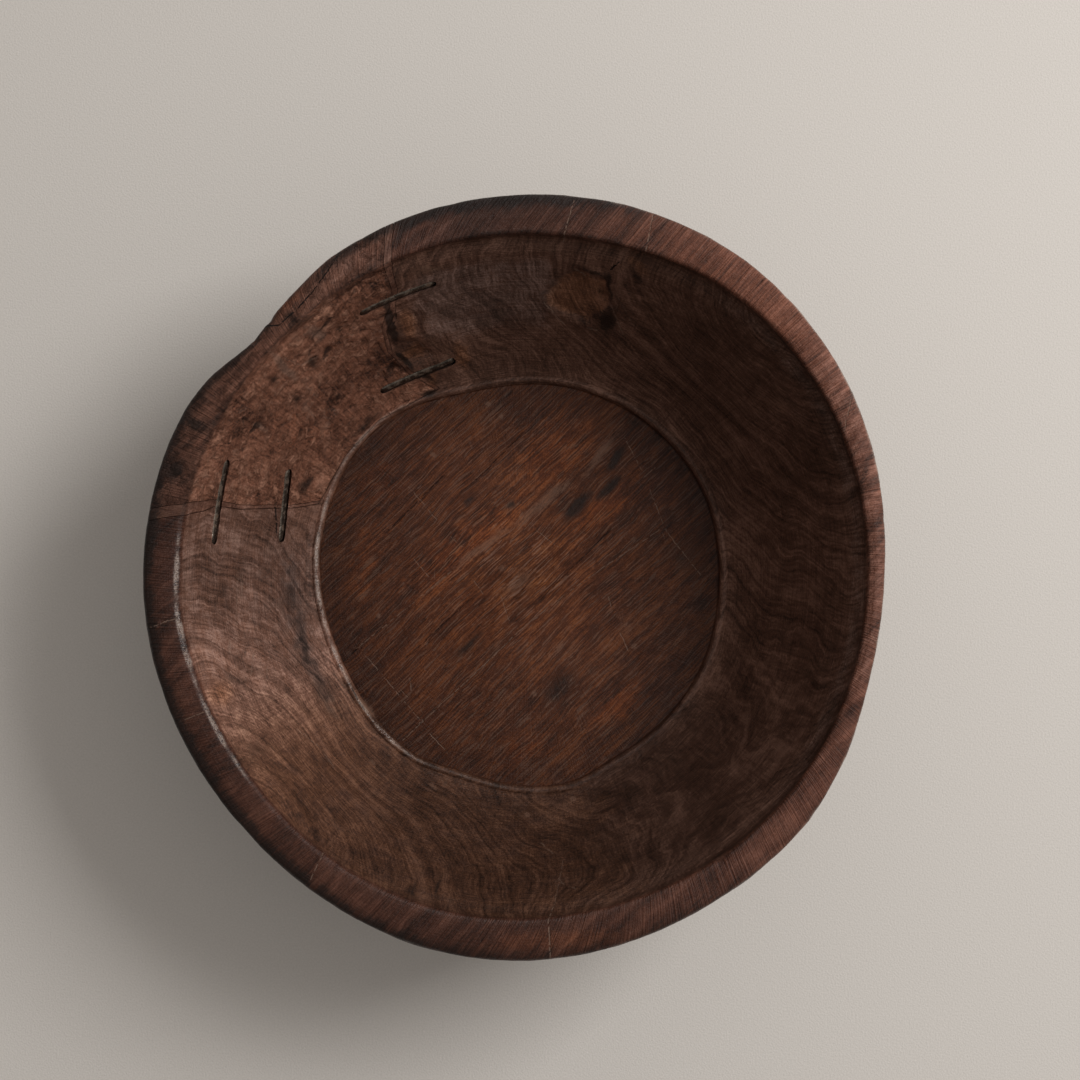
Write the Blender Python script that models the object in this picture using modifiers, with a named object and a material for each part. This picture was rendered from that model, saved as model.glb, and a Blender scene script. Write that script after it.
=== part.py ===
"""A hand-carved wooden bowl whose broken wall piece is set back with iron staples.

Frame: metres, +Z up, the origin at the centre of the foot, on the table.
Azimuth is in degrees, anticlockwise from +X, seen from above.
A staple bridges a joint on the hollow's side. Its legs go through the wall and are bent over outside.
"""

import math

import bmesh
import bpy
from mathutils import Vector
from mathutils.geometry import intersect_line_line

# ---------------------------------------------------------------- the carved block
HEIGHT = 0.150              # table to the top of the rim
FOOT_RADIUS = 0.116         # the flat the bowl stands on
FLOOR_LEVEL = 0.027         # the hollow's floor, at its edge
FLOOR_DISH = 0.0015         # how much lower the floor is in the middle
FLOOR_RADIUS = 0.1195       # nominal, where the floor meets the wall
RIM_IN_RADIUS = 0.1868      # nominal, the rim's inner edge
RIM_OUT_RADIUS = 0.2035     # nominal, the rim's outer edge
RIM_ROUNDING = 0.0030       # radius of the rim's two edges
HOLLOW_FULLNESS = 0.68      # power of height: 1 is a cone, less is rounder
SIDE_FULLNESS = 1.8         # power of depth below the rim: 1 is a cone, more is rounder
FOOT_EDGE = 0.0015          # the small round where the foot meets the side
TURNS = 90                  # facets round the bowl
WALL_RINGS = 8              # rings up each side of the wall
RING_CROWDING = 1.2         # above 1, the rings are closer together near the foot
UNDERSIDE_TOP = 0.5 * FLOOR_LEVEL  # points of the blank below this belong to its underside
SLOPE_STEP = 0.0005         # height step that a surface's slope is measured over
WELD_DISTANCE = 0.00001
SHADING_ANGLE = 35.0        # edges sharper than this are shaded as edges

# Out-of-round outlines: azimuth and radius, at the places where the curve changes.
RIM_OUTSIDE = (
    (0, 0.1970), (15, 0.2010), (30, 0.2055), (57, 0.2104), (91, 0.2073), (119, 0.2023), (132, 0.1962),
    (139.5, 0.1937), (148, 0.2006), (155, 0.2038), (180, 0.2050), (225, 0.2032), (264, 0.2080),
    (299, 0.2047), (319, 0.2043), (330, 0.2012), (344, 0.1966),
)
RIM_INSIDE = (
    (0, 0.1882), (30, 0.1914), (55, 0.1918), (76, 0.1870), (105, 0.1854), (136, 0.1838), (166, 0.1856),
    (178, 0.1854), (187, 0.1860), (197, 0.1844), (218, 0.1832), (255, 0.1863), (285, 0.1856),
    (314, 0.1874), (344, 0.1879),
)
FLOOR_EDGE = (
    (0, 0.1158), (30, 0.1192), (75, 0.1192), (105, 0.1178), (133, 0.1268), (165, 0.1236), (203, 0.1177),
    (237, 0.1207), (252, 0.1180), (281, 0.1216), (298, 0.1168), (330, 0.1164),
)

# ---------------------------------------------------------------- the joints in the wall
GAP = 0.0003                # clearance between pieces that are fitted together
PRISM_OVERSHOOT = 0.010     # how far a joint's cutting prism passes the bowl

# Each joint from outside the rim down to the floor: x, y and the width of its filler.
# The left joint runs along the wall piece's edge, the top joint down the middle of its filler.
LEFT_JOINT = (
    (-0.2300, 0.0340, 0.0060), (-0.2023, 0.0353, 0.0060), (-0.1829, 0.0381, 0.0058),
    (-0.1765, 0.0399, 0.0046), (-0.1705, 0.0420, 0.0030), (-0.1602, 0.0410, 0.0020),
    (-0.1504, 0.0425, 0.0016), (-0.1370, 0.0441, 0.0014), (-0.1214, 0.0484, 0.0014),
)
TOP_JOINT = (
    (-0.0716, 0.2300, 0.0044), (-0.0720, 0.1897, 0.0044), (-0.0731, 0.1669, 0.0036),
    (-0.0708, 0.1593, 0.0030), (-0.0736, 0.1507, 0.0022), (-0.0792, 0.1414, 0.0018),
    (-0.0773, 0.1317, 0.0018), (-0.0733, 0.1283, 0.0018), (-0.0671, 0.1229, 0.0018),
    (-0.0518, 0.1150, 0.0018),
)
# The wall piece's lower edge, just outside the floor, between the two joints.
LOWER_EDGE = ((-0.1214, 0.0484), (-0.1067, 0.0753), (-0.0862, 0.0965), (-0.0518, 0.1150))
OUTER_CORNER = (-0.2300, 0.2300)

# ---------------------------------------------------------------- the staples
BAR_THICKNESS = 0.0032      # round iron bar at a staple's middle
BAR_TAPER = 0.80            # thickness at the ends, as a share of the middle
BRIDGE_DEPTH = 0.0016       # the bridge's centreline below the hollow's surface
GROOVE_CLEARANCE = 0.0008   # round the bridge, in its groove
LEG_CLEARANCE = 0.0003      # round a leg, in its hole
BEND_RADIUS = 0.0030        # centreline radius where the bar is bent
BEND_STEPS = 3
SHARP_TURN = 30.0           # the bar's path is only rounded where it turns more than this
CLINCH_LENGTH = 0.011       # the end bent over on the outside
CLINCH_STANDOFF = 0.0024    # the bent end's centreline above the outside
LEG_LIMIT = 0.060           # longer than any leg through the wall
HALVINGS = 30               # steps that a leg's length is found in

# Azimuth and height of each bridge's first end, middle and last end.
STAPLES = {
    "left_joint_upper_staple": ((158.7, 0.1220), (165.9, 0.1165), (174.0, 0.1150)),
    "left_joint_lower_staple": ((155.0, 0.0620), (162.5, 0.0545), (170.9, 0.0515)),
    "top_joint_upper_staple": ((106.6, 0.1142), (114.1, 0.1142), (121.6, 0.1160)),
    "top_joint_lower_staple": ((107.4, 0.0450), (117.0, 0.0425), (126.8, 0.0430)),
}

# ---------------------------------------------------------------- finishes: colour, roughness, metallic
FINISHES = {
    "bowl_wood": ((0.130, 0.048, 0.025, 1.0), 0.50, 0.0),
    "segment_wood": ((0.160, 0.062, 0.034, 1.0), 0.62, 0.0),
    "filler_wood": ((0.210, 0.090, 0.050, 1.0), 0.58, 0.0),
    "staple_iron": ((0.030, 0.027, 0.024, 1.0), 0.48, 0.9),
}


# ---------------------------------------------------------------- the bowl's surfaces as formulas
def station(outline, index):
    """A station of a closed outline by number, carried on past either end."""
    turns, place = divmod(index, len(outline))
    azimuth, radius = outline[place]
    return azimuth + 360.0 * turns, radius


def outline_radius(outline, azimuth):
    """Radius of a closed outline at an azimuth, smooth through its stations."""
    azimuth %= 360.0
    here = sum(1 for start, _ in outline if start <= azimuth) - 1
    (a0, r0), (a1, r1), (a2, r2), (a3, r3) = (station(outline, here + step) for step in (-1, 0, 1, 2))
    span = a2 - a1
    share = (azimuth - a1) / span
    leaving = (r2 - r0) / (a2 - a0) * span
    arriving = (r3 - r1) / (a3 - a1) * span
    rise = 3.0 * share ** 2 - 2.0 * share ** 3
    return (
        r1 + (r2 - r1) * rise
        + leaving * (share ** 3 - 2.0 * share ** 2 + share)
        + arriving * (share ** 3 - share ** 2)
    )


def wall_share(height):
    """How far out the hollow's wall has come at a height: 0 at the floor, 1 at the rim."""
    depth = (height - FLOOR_LEVEL) / (HEIGHT - FLOOR_LEVEL)
    return min(max(depth, 0.0), 1.0) ** HOLLOW_FULLNESS


def side_share(height):
    """How far out the outside has come at a height: 0 at the foot, 1 at the rim."""
    below_rim = 1.0 - min(max(height / HEIGHT, 0.0), 1.0)
    return 1.0 - below_rim ** SIDE_FULLNESS


def hollow_radius(azimuth, height):
    floor_edge = outline_radius(FLOOR_EDGE, azimuth)
    return floor_edge + (outline_radius(RIM_INSIDE, azimuth) - floor_edge) * wall_share(height)


def outside_radius(azimuth, height):
    return FOOT_RADIUS + (outline_radius(RIM_OUTSIDE, azimuth) - FOOT_RADIUS) * side_share(height)


def turned_hollow_radius(height):
    return FLOOR_RADIUS + (RIM_IN_RADIUS - FLOOR_RADIUS) * wall_share(height)


def turned_outside_radius(height):
    return FOOT_RADIUS + (RIM_OUT_RADIUS - FOOT_RADIUS) * side_share(height)


def carved_radius(radius, height, azimuth):
    """Where a point of the round blank goes when the bowl is carved out of round."""
    if height <= FLOOR_LEVEL and radius <= FLOOR_RADIUS and height > UNDERSIDE_TOP:
        return radius * outline_radius(FLOOR_EDGE, azimuth) / FLOOR_RADIUS
    if height <= FLOOR_LEVEL:
        return radius * outside_radius(azimuth, height) / turned_outside_radius(height)
    inside = turned_hollow_radius(height)
    through_wall = (radius - inside) / (turned_outside_radius(height) - inside)
    carved_inside = hollow_radius(azimuth, height)
    return carved_inside + through_wall * (outside_radius(azimuth, height) - carved_inside)


def radial(azimuth):
    angle = math.radians(azimuth)
    return Vector((math.cos(angle), math.sin(angle), 0.0))


def surface_point(radius_at, azimuth, height):
    """A point on the hollow or the outside, and the unit normal that leads outward and down."""
    rise = radius_at(azimuth, height + SLOPE_STEP) - radius_at(azimuth, height - SLOPE_STEP)
    slope = rise / (2.0 * SLOPE_STEP)
    point = radial(azimuth) * radius_at(azimuth, height) + Vector((0.0, 0.0, height))
    normal = radial(azimuth) - Vector((0.0, 0.0, slope))
    return point, normal.normalized()


# ---------------------------------------------------------------- scene helpers
def clear_scene():
    for old in list(bpy.data.objects):
        bpy.data.objects.remove(old, do_unlink=True)


def new_collection(name):
    collection = bpy.data.collections.new(name)
    bpy.context.scene.collection.children.link(collection)
    return collection


def make_material(name):
    colour, roughness, metallic = FINISHES[name]
    material = bpy.data.materials.new(name)
    material.use_nodes = True
    shader = material.node_tree.nodes["Principled BSDF"]
    shader.inputs["Base Color"].default_value = colour
    shader.inputs["Roughness"].default_value = roughness
    shader.inputs["Metallic"].default_value = metallic
    material.diffuse_color = colour
    return material


def as_mesh_object(source, collection, name):
    """Make a modified mesh or a curve into a plain mesh object, with its seams welded."""
    bpy.context.view_layer.update()
    evaluated = source.evaluated_get(bpy.context.evaluated_depsgraph_get())
    mesh = bpy.data.meshes.new_from_object(evaluated)
    welder = bmesh.new()
    welder.from_mesh(mesh)
    bmesh.ops.remove_doubles(welder, verts=welder.verts, dist=WELD_DISTANCE)
    welder.to_mesh(mesh)
    welder.free()
    mesh.name = name
    result = bpy.data.objects.new(name, mesh)
    result.matrix_world = source.matrix_world
    collection.objects.link(result)
    bpy.data.objects.remove(source, do_unlink=True)
    return result


def hide_as_cutter(cutter):
    cutter.hide_render = True
    cutter.display_type = "WIRE"


def add_boolean(piece, cutter, operation):
    cut = piece.modifiers.new(cutter.name, "BOOLEAN")
    cut.operation = operation
    cut.object = cutter


# ---------------------------------------------------------------- the carved block
def corner_arc(centre_radius, centre_height, start, end):
    """A rounded edge of the profile, in three points, by angles from straight out."""
    angles = (start, 0.5 * (start + end), end)
    return [
        (
            centre_radius + RIM_ROUNDING * math.cos(math.radians(angle)),
            centre_height + RIM_ROUNDING * math.sin(math.radians(angle)),
        )
        for angle in angles
    ]


def blank_profile():
    """Radius and height along the blank: the floor, up the hollow, over the rim, down the outside."""
    edge_height = HEIGHT - RIM_ROUNDING
    profile = [(0.0, FLOOR_LEVEL - FLOOR_DISH), (0.5 * FLOOR_RADIUS, FLOOR_LEVEL - 0.75 * FLOOR_DISH)]
    for ring in range(WALL_RINGS):
        height = FLOOR_LEVEL + (edge_height - FLOOR_LEVEL) * (ring / WALL_RINGS) ** RING_CROWDING
        profile.append((turned_hollow_radius(height), height))
    inner_centre = turned_hollow_radius(edge_height) + RIM_ROUNDING
    outer_centre = turned_outside_radius(edge_height) - RIM_ROUNDING
    profile += corner_arc(inner_centre, edge_height, 180.0, 90.0)
    profile += corner_arc(outer_centre, edge_height, 90.0, 0.0)
    for ring in range(1, WALL_RINGS):
        height = FOOT_EDGE + (edge_height - FOOT_EDGE) * (1.0 - ring / WALL_RINGS) ** RING_CROWDING
        profile.append((turned_outside_radius(height), height))
    profile.append((turned_outside_radius(FOOT_EDGE), FOOT_EDGE))
    profile.append((FOOT_RADIUS - FOOT_EDGE, 0.0))
    profile.append((0.0, 0.0))
    return profile


def make_blank(cutters):
    """The whole bowl in one piece: a turned profile, then carved out of round."""
    maker = bmesh.new()
    points = [maker.verts.new((radius, 0.0, height)) for radius, height in blank_profile()]
    for first, second in zip(points, points[1:]):
        maker.edges.new((first, second))
    mesh = bpy.data.meshes.new("turned_profile")
    maker.to_mesh(mesh)
    maker.free()
    profile = bpy.data.objects.new("turned_profile", mesh)
    cutters.objects.link(profile)
    turning = profile.modifiers.new("turning", "SCREW")
    turning.axis = "Z"
    turning.angle = math.radians(360.0)
    turning.steps = TURNS
    turning.render_steps = TURNS
    turning.use_merge_vertices = True
    turning.merge_threshold = WELD_DISTANCE
    blank = as_mesh_object(profile, cutters, "carved_blank")
    for vertex in blank.data.vertices:
        radius = math.hypot(vertex.co.x, vertex.co.y)
        azimuth = math.degrees(math.atan2(vertex.co.y, vertex.co.x))
        place = radial(azimuth) * carved_radius(radius, vertex.co.z, azimuth)
        vertex.co = (place.x, place.y, vertex.co.z)
    hide_as_cutter(blank)
    return blank


# ---------------------------------------------------------------- the joints
def joint_line(joint, towards_block, offset, width_share):
    """A joint moved sideways towards the block, by an offset and a share of its filler's width.

    towards_block is 1 where the block lies to the left of the joint's run and -1 to the right.
    """
    places = [Vector((x, y)) for x, y, _ in joint]
    line = []
    for index, (place, (_, _, width)) in enumerate(zip(places, joint)):
        before = places[max(index - 1, 0)]
        after = places[min(index + 1, len(places) - 1)]
        along = (after - before).normalized()
        sideways = Vector((-along.y, along.x)) * towards_block
        line.append(place + sideways * (offset + width_share * width))
    return line


def left_line(offset, width_share):
    return joint_line(LEFT_JOINT, -1.0, offset, width_share)


def top_line(offset, width_share):
    return joint_line(TOP_JOINT, 1.0, offset, width_share)


def lower_line(offset):
    """The wall piece's lower edge moved towards the bowl's axis."""
    places = [Vector(place) for place in LOWER_EDGE]
    return [place - place.normalized() * offset for place in places]


def meeting(first_run, second_run):
    """Where two straight runs in plan cross, when they are carried on."""
    ends = [place.to_3d() for place in (*first_run, *second_run)]
    return intersect_line_line(*ends)[0].to_2d()


def plan_between(left, lower, top):
    """A closed plan from the left line, along the lower one, and out again by the top line."""
    left_corner = meeting(left[-2:], lower[:2])
    top_corner = meeting(lower[-2:], top[-2:])
    return [*left[:-1], left_corner, *lower[1:-1], top_corner, *top[-2::-1], OUTER_CORNER]


def opening_outline():
    """Plan of the whole opening in the block, which the wall piece and the fillers close."""
    return plan_between(left_line(2.0 * GAP, 1.0), lower_line(GAP), top_line(GAP, 0.5))


def piece_outline():
    """Plan of the wall piece."""
    return plan_between(left_line(0.0, 0.0), lower_line(0.0), top_line(-GAP, -0.5))


def filler_outline(near_piece, near_block, lower_run):
    """Plan of a filler between its two lines, ended by a run of the lower edge."""
    piece_corner = meeting(near_piece[-2:], lower_run)
    block_corner = meeting(near_block[-2:], lower_run)
    return [*near_piece[:-1], piece_corner, block_corner, *near_block[-2::-1]]


def make_prism(cutters, name, outline):
    """An upright prism on a plan outline, taller than the bowl."""
    curve = bpy.data.curves.new(name, "CURVE")
    curve.dimensions = "2D"
    curve.fill_mode = "BOTH"
    curve.extrude = 0.5 * HEIGHT + PRISM_OVERSHOOT
    spline = curve.splines.new("POLY")
    spline.points.add(len(outline) - 1)
    for point, (x, y) in zip(spline.points, outline):
        point.co = (x, y, 0.0, 1.0)
    spline.use_cyclic_u = True
    flat = bpy.data.objects.new(name, curve)
    flat.location.z = 0.5 * HEIGHT
    cutters.objects.link(flat)
    prism = as_mesh_object(flat, cutters, name)
    hide_as_cutter(prism)
    return prism


# ---------------------------------------------------------------- the staples
def leg_length(start, direction):
    """Distance along a leg from the hollow's surface to the outside, by halving."""
    low, high = 0.0, LEG_LIMIT
    for _ in range(HALVINGS):
        middle = 0.5 * (low + high)
        point = start + direction * middle
        azimuth = math.degrees(math.atan2(point.y, point.x))
        if math.hypot(point.x, point.y) < outside_radius(azimuth, point.z):
            low = middle
        else:
            high = middle
    return low


def leg_points(end, other_end):
    """A leg from the bridge outwards: its corner, where it bends over, and its bent-over tip."""
    azimuth, height = end
    surface, direction = surface_point(hollow_radius, azimuth, height)
    corner = surface + direction * BRIDGE_DEPTH
    length = leg_length(surface, direction)
    turn = surface + direction * (length + CLINCH_STANDOFF)
    turn_azimuth = math.degrees(math.atan2(turn.y, turn.x))
    towards = math.copysign(1.0, other_end[0] - azimuth)
    sweep = math.degrees(CLINCH_LENGTH / math.hypot(turn.x, turn.y))
    exit_height = (surface + direction * length).z
    tip_surface, tip_normal = surface_point(outside_radius, turn_azimuth + towards * sweep, exit_height)
    return corner, turn, tip_surface + tip_normal * CLINCH_STANDOFF


def bridge_points(ends):
    """The bridge's inner points: it is bedded at one depth along the curved wall."""
    first, middle, last = ends
    points = []
    for share in (0.25, 0.5, 0.75):
        azimuth = first[0] + (last[0] - first[0]) * share
        straight = first[1] + (last[1] - first[1]) * share
        sag = middle[1] - 0.5 * (first[1] + last[1])
        height = straight + sag * 4.0 * share * (1.0 - share)
        surface, direction = surface_point(hollow_radius, azimuth, height)
        points.append(surface + direction * BRIDGE_DEPTH)
    return points


def rounded(points):
    """A path with its sharp corners bent to the bar's bend radius."""
    path = [points[0]]
    for before, corner, after in zip(points, points[1:], points[2:]):
        inward = (corner - before).normalized()
        onward = (after - corner).normalized()
        turn = inward.angle(onward)
        if turn < math.radians(SHARP_TURN):
            path.append(corner)
            continue
        cut_back = BEND_RADIUS * math.tan(0.5 * turn)
        start = corner - inward * cut_back
        end = corner + onward * cut_back
        for step in range(BEND_STEPS + 1):
            share = step / BEND_STEPS
            path.append(start.lerp(corner, share).lerp(corner.lerp(end, share), share))
    path.append(points[-1])
    return path


def make_bar(collection, name, path, thicknesses):
    """A round bar along a path, with the thickness given at each point."""
    curve = bpy.data.curves.new(name, "CURVE")
    curve.dimensions = "3D"
    curve.bevel_depth = 0.5 * BAR_THICKNESS
    curve.bevel_resolution = 2
    curve.use_fill_caps = True
    spline = curve.splines.new("POLY")
    spline.points.add(len(path) - 1)
    for point, place, thickness in zip(spline.points, path, thicknesses):
        point.co = (*place, 1.0)
        point.radius = thickness / BAR_THICKNESS
    bar = bpy.data.objects.new(name, curve)
    collection.objects.link(bar)
    return bar


def bar_thicknesses(path):
    """Full thickness at the middle of the path, tapered towards both ends."""
    last = len(path) - 1
    from_middle = [abs(2.0 * index / last - 1.0) for index in range(len(path))]
    return [BAR_THICKNESS * (1.0 - (1.0 - BAR_TAPER) * share) for share in from_middle]


def make_staple(parts, cutters, name, ends):
    """A staple, and the cutter for its groove and its two leg holes."""
    first_corner, first_turn, first_tip = leg_points(ends[0], ends[-1])
    last_corner, last_turn, last_tip = leg_points(ends[-1], ends[0])
    bridge = bridge_points(ends)
    path = rounded([first_tip, first_turn, first_corner, *bridge, last_corner, last_turn, last_tip])
    staple = make_bar(parts, name, path, bar_thicknesses(path))
    first_outside = first_turn + (first_turn - first_corner).normalized() * BEND_RADIUS
    last_outside = last_turn + (last_turn - last_corner).normalized() * BEND_RADIUS
    cut_path = rounded([first_outside, first_corner, *bridge, last_corner, last_outside])
    cut_thicknesses = [BAR_THICKNESS + 2.0 * GROOVE_CLEARANCE] * len(cut_path)
    for index in (0, 1, -2, -1):
        cut_thicknesses[index] = BAR_THICKNESS + 2.0 * LEG_CLEARANCE
    bed = make_bar(cutters, name + "_bed", cut_path, cut_thicknesses)
    bed = as_mesh_object(bed, cutters, name + "_bed")
    hide_as_cutter(bed)
    return staple, bed


# ---------------------------------------------------------------- assembly
def make_piece(parts, name, blank, operation, prism, beds):
    """A piece of the wooden bowl: the blank, cut to its plan and let in for its staples."""
    piece = bpy.data.objects.new(name, blank.data.copy())
    piece.data.name = name
    parts.objects.link(piece)
    piece.data.shade_smooth()
    piece.data.set_sharp_from_angle(angle=math.radians(SHADING_ANGLE))
    add_boolean(piece, prism, operation)
    for bed in beds:
        add_boolean(piece, bed, "DIFFERENCE")
    return piece


def build():
    clear_scene()
    parts = new_collection("carved_wooden_bowl")
    cutters = new_collection("cutters")

    staples = {}
    beds = {}
    for name, ends in STAPLES.items():
        staples[name], beds[name] = make_staple(parts, cutters, name, ends)
    left_beds = [bed for name, bed in beds.items() if name.startswith("left")]
    top_beds = [bed for name, bed in beds.items() if name.startswith("top")]
    all_beds = left_beds + top_beds

    blank = make_blank(cutters)
    opening = make_prism(cutters, "opening_prism", opening_outline())
    piece_prism = make_prism(cutters, "piece_prism", piece_outline())
    left_plan = filler_outline(left_line(GAP, 0.0), left_line(GAP, 1.0), lower_line(0.0)[:2])
    left_prism = make_prism(cutters, "left_filler_prism", left_plan)
    top_plan = filler_outline(top_line(0.0, -0.5), top_line(0.0, 0.5), lower_line(0.0)[-2:])
    top_prism = make_prism(cutters, "top_filler_prism", top_plan)

    body = make_piece(parts, "bowl_body", blank, "DIFFERENCE", opening, all_beds)
    segment = make_piece(parts, "wall_segment", blank, "INTERSECT", piece_prism, all_beds)
    left_filler = make_piece(parts, "left_joint_filler", blank, "INTERSECT", left_prism, left_beds)
    top_filler = make_piece(parts, "top_joint_filler", blank, "INTERSECT", top_prism, top_beds)

    materials = {name: make_material(name) for name in FINISHES}
    body.data.materials.append(materials["bowl_wood"])
    segment.data.materials.append(materials["segment_wood"])
    left_filler.data.materials.append(materials["filler_wood"])
    top_filler.data.materials.append(materials["filler_wood"])
    for staple in staples.values():
        staple.data.materials.append(materials["staple_iron"])


build()
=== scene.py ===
"""The looks of the carved wooden bowl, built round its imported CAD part.

Frame: metres, +Z up, the origin at the centre of the foot. Azimuth is in degrees, anticlockwise
from +X, seen from above. The bowl is one carved block, a wall piece set back into it, two fillers
in the joints beside that piece, and four hand-forged iron staples across the joints.
"""

import itertools
import math
from functools import partial

import bpy
import numpy as np
from mathutils import Matrix, Vector
from mathutils.geometry import intersect_line_line


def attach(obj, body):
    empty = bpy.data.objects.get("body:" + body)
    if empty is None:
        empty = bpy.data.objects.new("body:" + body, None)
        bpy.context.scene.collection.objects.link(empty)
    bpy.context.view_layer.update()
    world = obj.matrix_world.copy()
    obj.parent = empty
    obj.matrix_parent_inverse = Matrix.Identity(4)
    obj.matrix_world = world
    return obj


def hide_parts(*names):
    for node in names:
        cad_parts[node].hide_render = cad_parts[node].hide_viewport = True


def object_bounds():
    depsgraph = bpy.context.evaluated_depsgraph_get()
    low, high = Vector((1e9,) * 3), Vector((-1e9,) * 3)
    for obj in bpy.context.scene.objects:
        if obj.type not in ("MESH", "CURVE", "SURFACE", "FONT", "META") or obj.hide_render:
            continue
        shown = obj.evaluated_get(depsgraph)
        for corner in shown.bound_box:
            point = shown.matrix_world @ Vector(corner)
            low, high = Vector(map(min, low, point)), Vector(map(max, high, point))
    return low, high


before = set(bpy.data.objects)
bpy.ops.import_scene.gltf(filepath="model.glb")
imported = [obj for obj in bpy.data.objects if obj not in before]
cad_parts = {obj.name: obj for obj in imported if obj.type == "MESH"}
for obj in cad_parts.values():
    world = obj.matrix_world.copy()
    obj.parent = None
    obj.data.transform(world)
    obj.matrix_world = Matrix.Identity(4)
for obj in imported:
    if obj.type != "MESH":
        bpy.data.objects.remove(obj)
cad_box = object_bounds()

# ---------------------------------------------------------------- the carved block
HEIGHT = cad_box[1].z       # table to the top of the rim
FOOT_RADIUS = 0.116         # the flat the bowl stands on
FLOOR_LEVEL = 0.027         # the hollow's floor, where the wall starts
FLOOR_SINK = 0.0018         # how far the floor's edge lies below that
FLOOR_DISH = 0.0010         # how much lower still the floor's middle is
HOLLOW_FULLNESS = 0.68      # power of height: 1 is a cone, less is rounder
SIDE_FULLNESS = 1.8         # power of depth below the rim: 1 is a cone, more is rounder
OUTER_ROUNDING = 0.0030     # radius of the rim's outer edge
RIM_CROWN = 0.0005          # how much the rim's top is domed
FOOT_EDGE = 0.0015          # the small round where the foot meets the side
# The raised bead round the floor: distance out from the floor's edge, and height.
BEAD = (
    (0.0004, 0.0262), (0.0009, 0.0281), (0.0017, 0.0295), (0.0027, 0.0301), (0.0038, 0.0299),
    (0.0048, 0.0293),
)
WALL_START = 0.0303         # where the wall starts behind the bead
UNDERCUT_HEIGHT = 0.1400    # the worn hollow just under the rim
UNDERCUT_SPREAD = 0.0052

# Out-of-round outlines: azimuth and radius, at the places where the curve changes.
RIM_OUTSIDE = (
    (0, 0.1970), (15, 0.2010), (30, 0.2055), (57, 0.2104), (91, 0.2073), (119, 0.2023), (132, 0.1962),
    (139.5, 0.1937), (148, 0.2006), (155, 0.2038), (180, 0.2050), (225, 0.2032), (264, 0.2080),
    (299, 0.2047), (319, 0.2043), (330, 0.2012), (344, 0.1966),
)
RIM_INSIDE = (
    (0, 0.1882), (30, 0.1914), (55, 0.1918), (76, 0.1870), (105, 0.1854), (136, 0.1838), (166, 0.1856),
    (178, 0.1854), (187, 0.1860), (197, 0.1844), (218, 0.1832), (255, 0.1863), (285, 0.1856),
    (314, 0.1874), (344, 0.1879),
)
FLOOR_EDGE = (
    (0, 0.1158), (30, 0.1192), (75, 0.1192), (105, 0.1178), (133, 0.1268), (165, 0.1236), (203, 0.1177),
    (237, 0.1207), (252, 0.1180), (281, 0.1216), (298, 0.1168), (330, 0.1164),
)
INNER_ROUNDING = (
    (0, 0.0030), (90, 0.0026), (165, 0.0034), (185, 0.0048), (205, 0.0044), (225, 0.0030),
)
UNDERCUT = (
    (0, 0.0018), (60, 0.0028), (100, 0.0030), (150, 0.0012), (190, 0.0002), (210, 0.0004), (270, 0.0014),
    (320, 0.0018),
)

# Chips in the rim's edges, in plan: x, y, size and depth.
CHIPS = (
    (-0.1385, 0.1396, 0.0030, 0.0022), (-0.1464, 0.1272, 0.0022, 0.0018),
    (-0.1512, 0.1244, 0.0018, 0.0014), (0.1590, -0.1290, 0.0028, 0.0014),
    (0.1535, -0.1345, 0.0020, 0.0012), (0.1075, -0.1525, 0.0030, 0.0014),
    (-0.1853, -0.0140, 0.0024, 0.0012), (-0.1838, -0.0300, 0.0020, 0.0010),
    (-0.1790, -0.0480, 0.0028, 0.0012), (0.1962, 0.0300, 0.0022, 0.0010),
    (0.0440, -0.2005, 0.0024, 0.0010), (-0.0600, 0.1995, 0.0022, 0.0012),
)

# ---------------------------------------------------------------- the joints in the wall
GAP = 0.0003
PRISM_OVERSHOOT = 0.010
JOINT_WANDER = 0.0004       # how far a joint strays from its line
JOINT_STEP = 0.0025         # length of a joint's short runs
# The joints in plan, from outside the rim to the floor: x, y and the width of the filler.
LEFT_JOINT = (
    (-0.2300, 0.0340, 0.0060), (-0.2023, 0.0353, 0.0060), (-0.1829, 0.0381, 0.0058),
    (-0.1765, 0.0399, 0.0046), (-0.1705, 0.0420, 0.0030), (-0.1602, 0.0410, 0.0020),
    (-0.1504, 0.0425, 0.0016), (-0.1370, 0.0441, 0.0014), (-0.1214, 0.0484, 0.0014),
)
TOP_JOINT = (
    (-0.0716, 0.2300, 0.0044), (-0.0720, 0.1897, 0.0044), (-0.0731, 0.1669, 0.0036),
    (-0.0708, 0.1593, 0.0030), (-0.0736, 0.1507, 0.0022), (-0.0792, 0.1414, 0.0018),
    (-0.0773, 0.1317, 0.0018), (-0.0733, 0.1283, 0.0018), (-0.0671, 0.1229, 0.0018),
    (-0.0518, 0.1150, 0.0018),
)
# The wall piece's lower edge, from the left joint to the top one.
LOWER_EDGE = ((-0.1214, 0.0484), (-0.1067, 0.0753), (-0.0862, 0.0965), (-0.0518, 0.1150))
OUTER_CORNER = (-0.2300, 0.2300)

# ---------------------------------------------------------------- the staples
BAR_THICKNESS = 0.0032
BAR_TAPER = 0.80
BAR_BREADTH = 1.5           # a bar is hammered this much broader than it is thick
BRIDGE_DEPTH = 0.0014       # how far a bar's middle lies under the wall's surface
GROOVE_CLEARANCE = 0.0010
BEND_RADIUS = 0.0030
CLINCH_LENGTH = 0.011       # the bent-over end
CLINCH_STANDOFF = 0.0024    # its middle's distance from the outside
LEG_LIMIT = 0.060
BAR_SIDES = 20
BAR_STEP = 0.0006
BED_STEP = 0.0012
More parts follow.
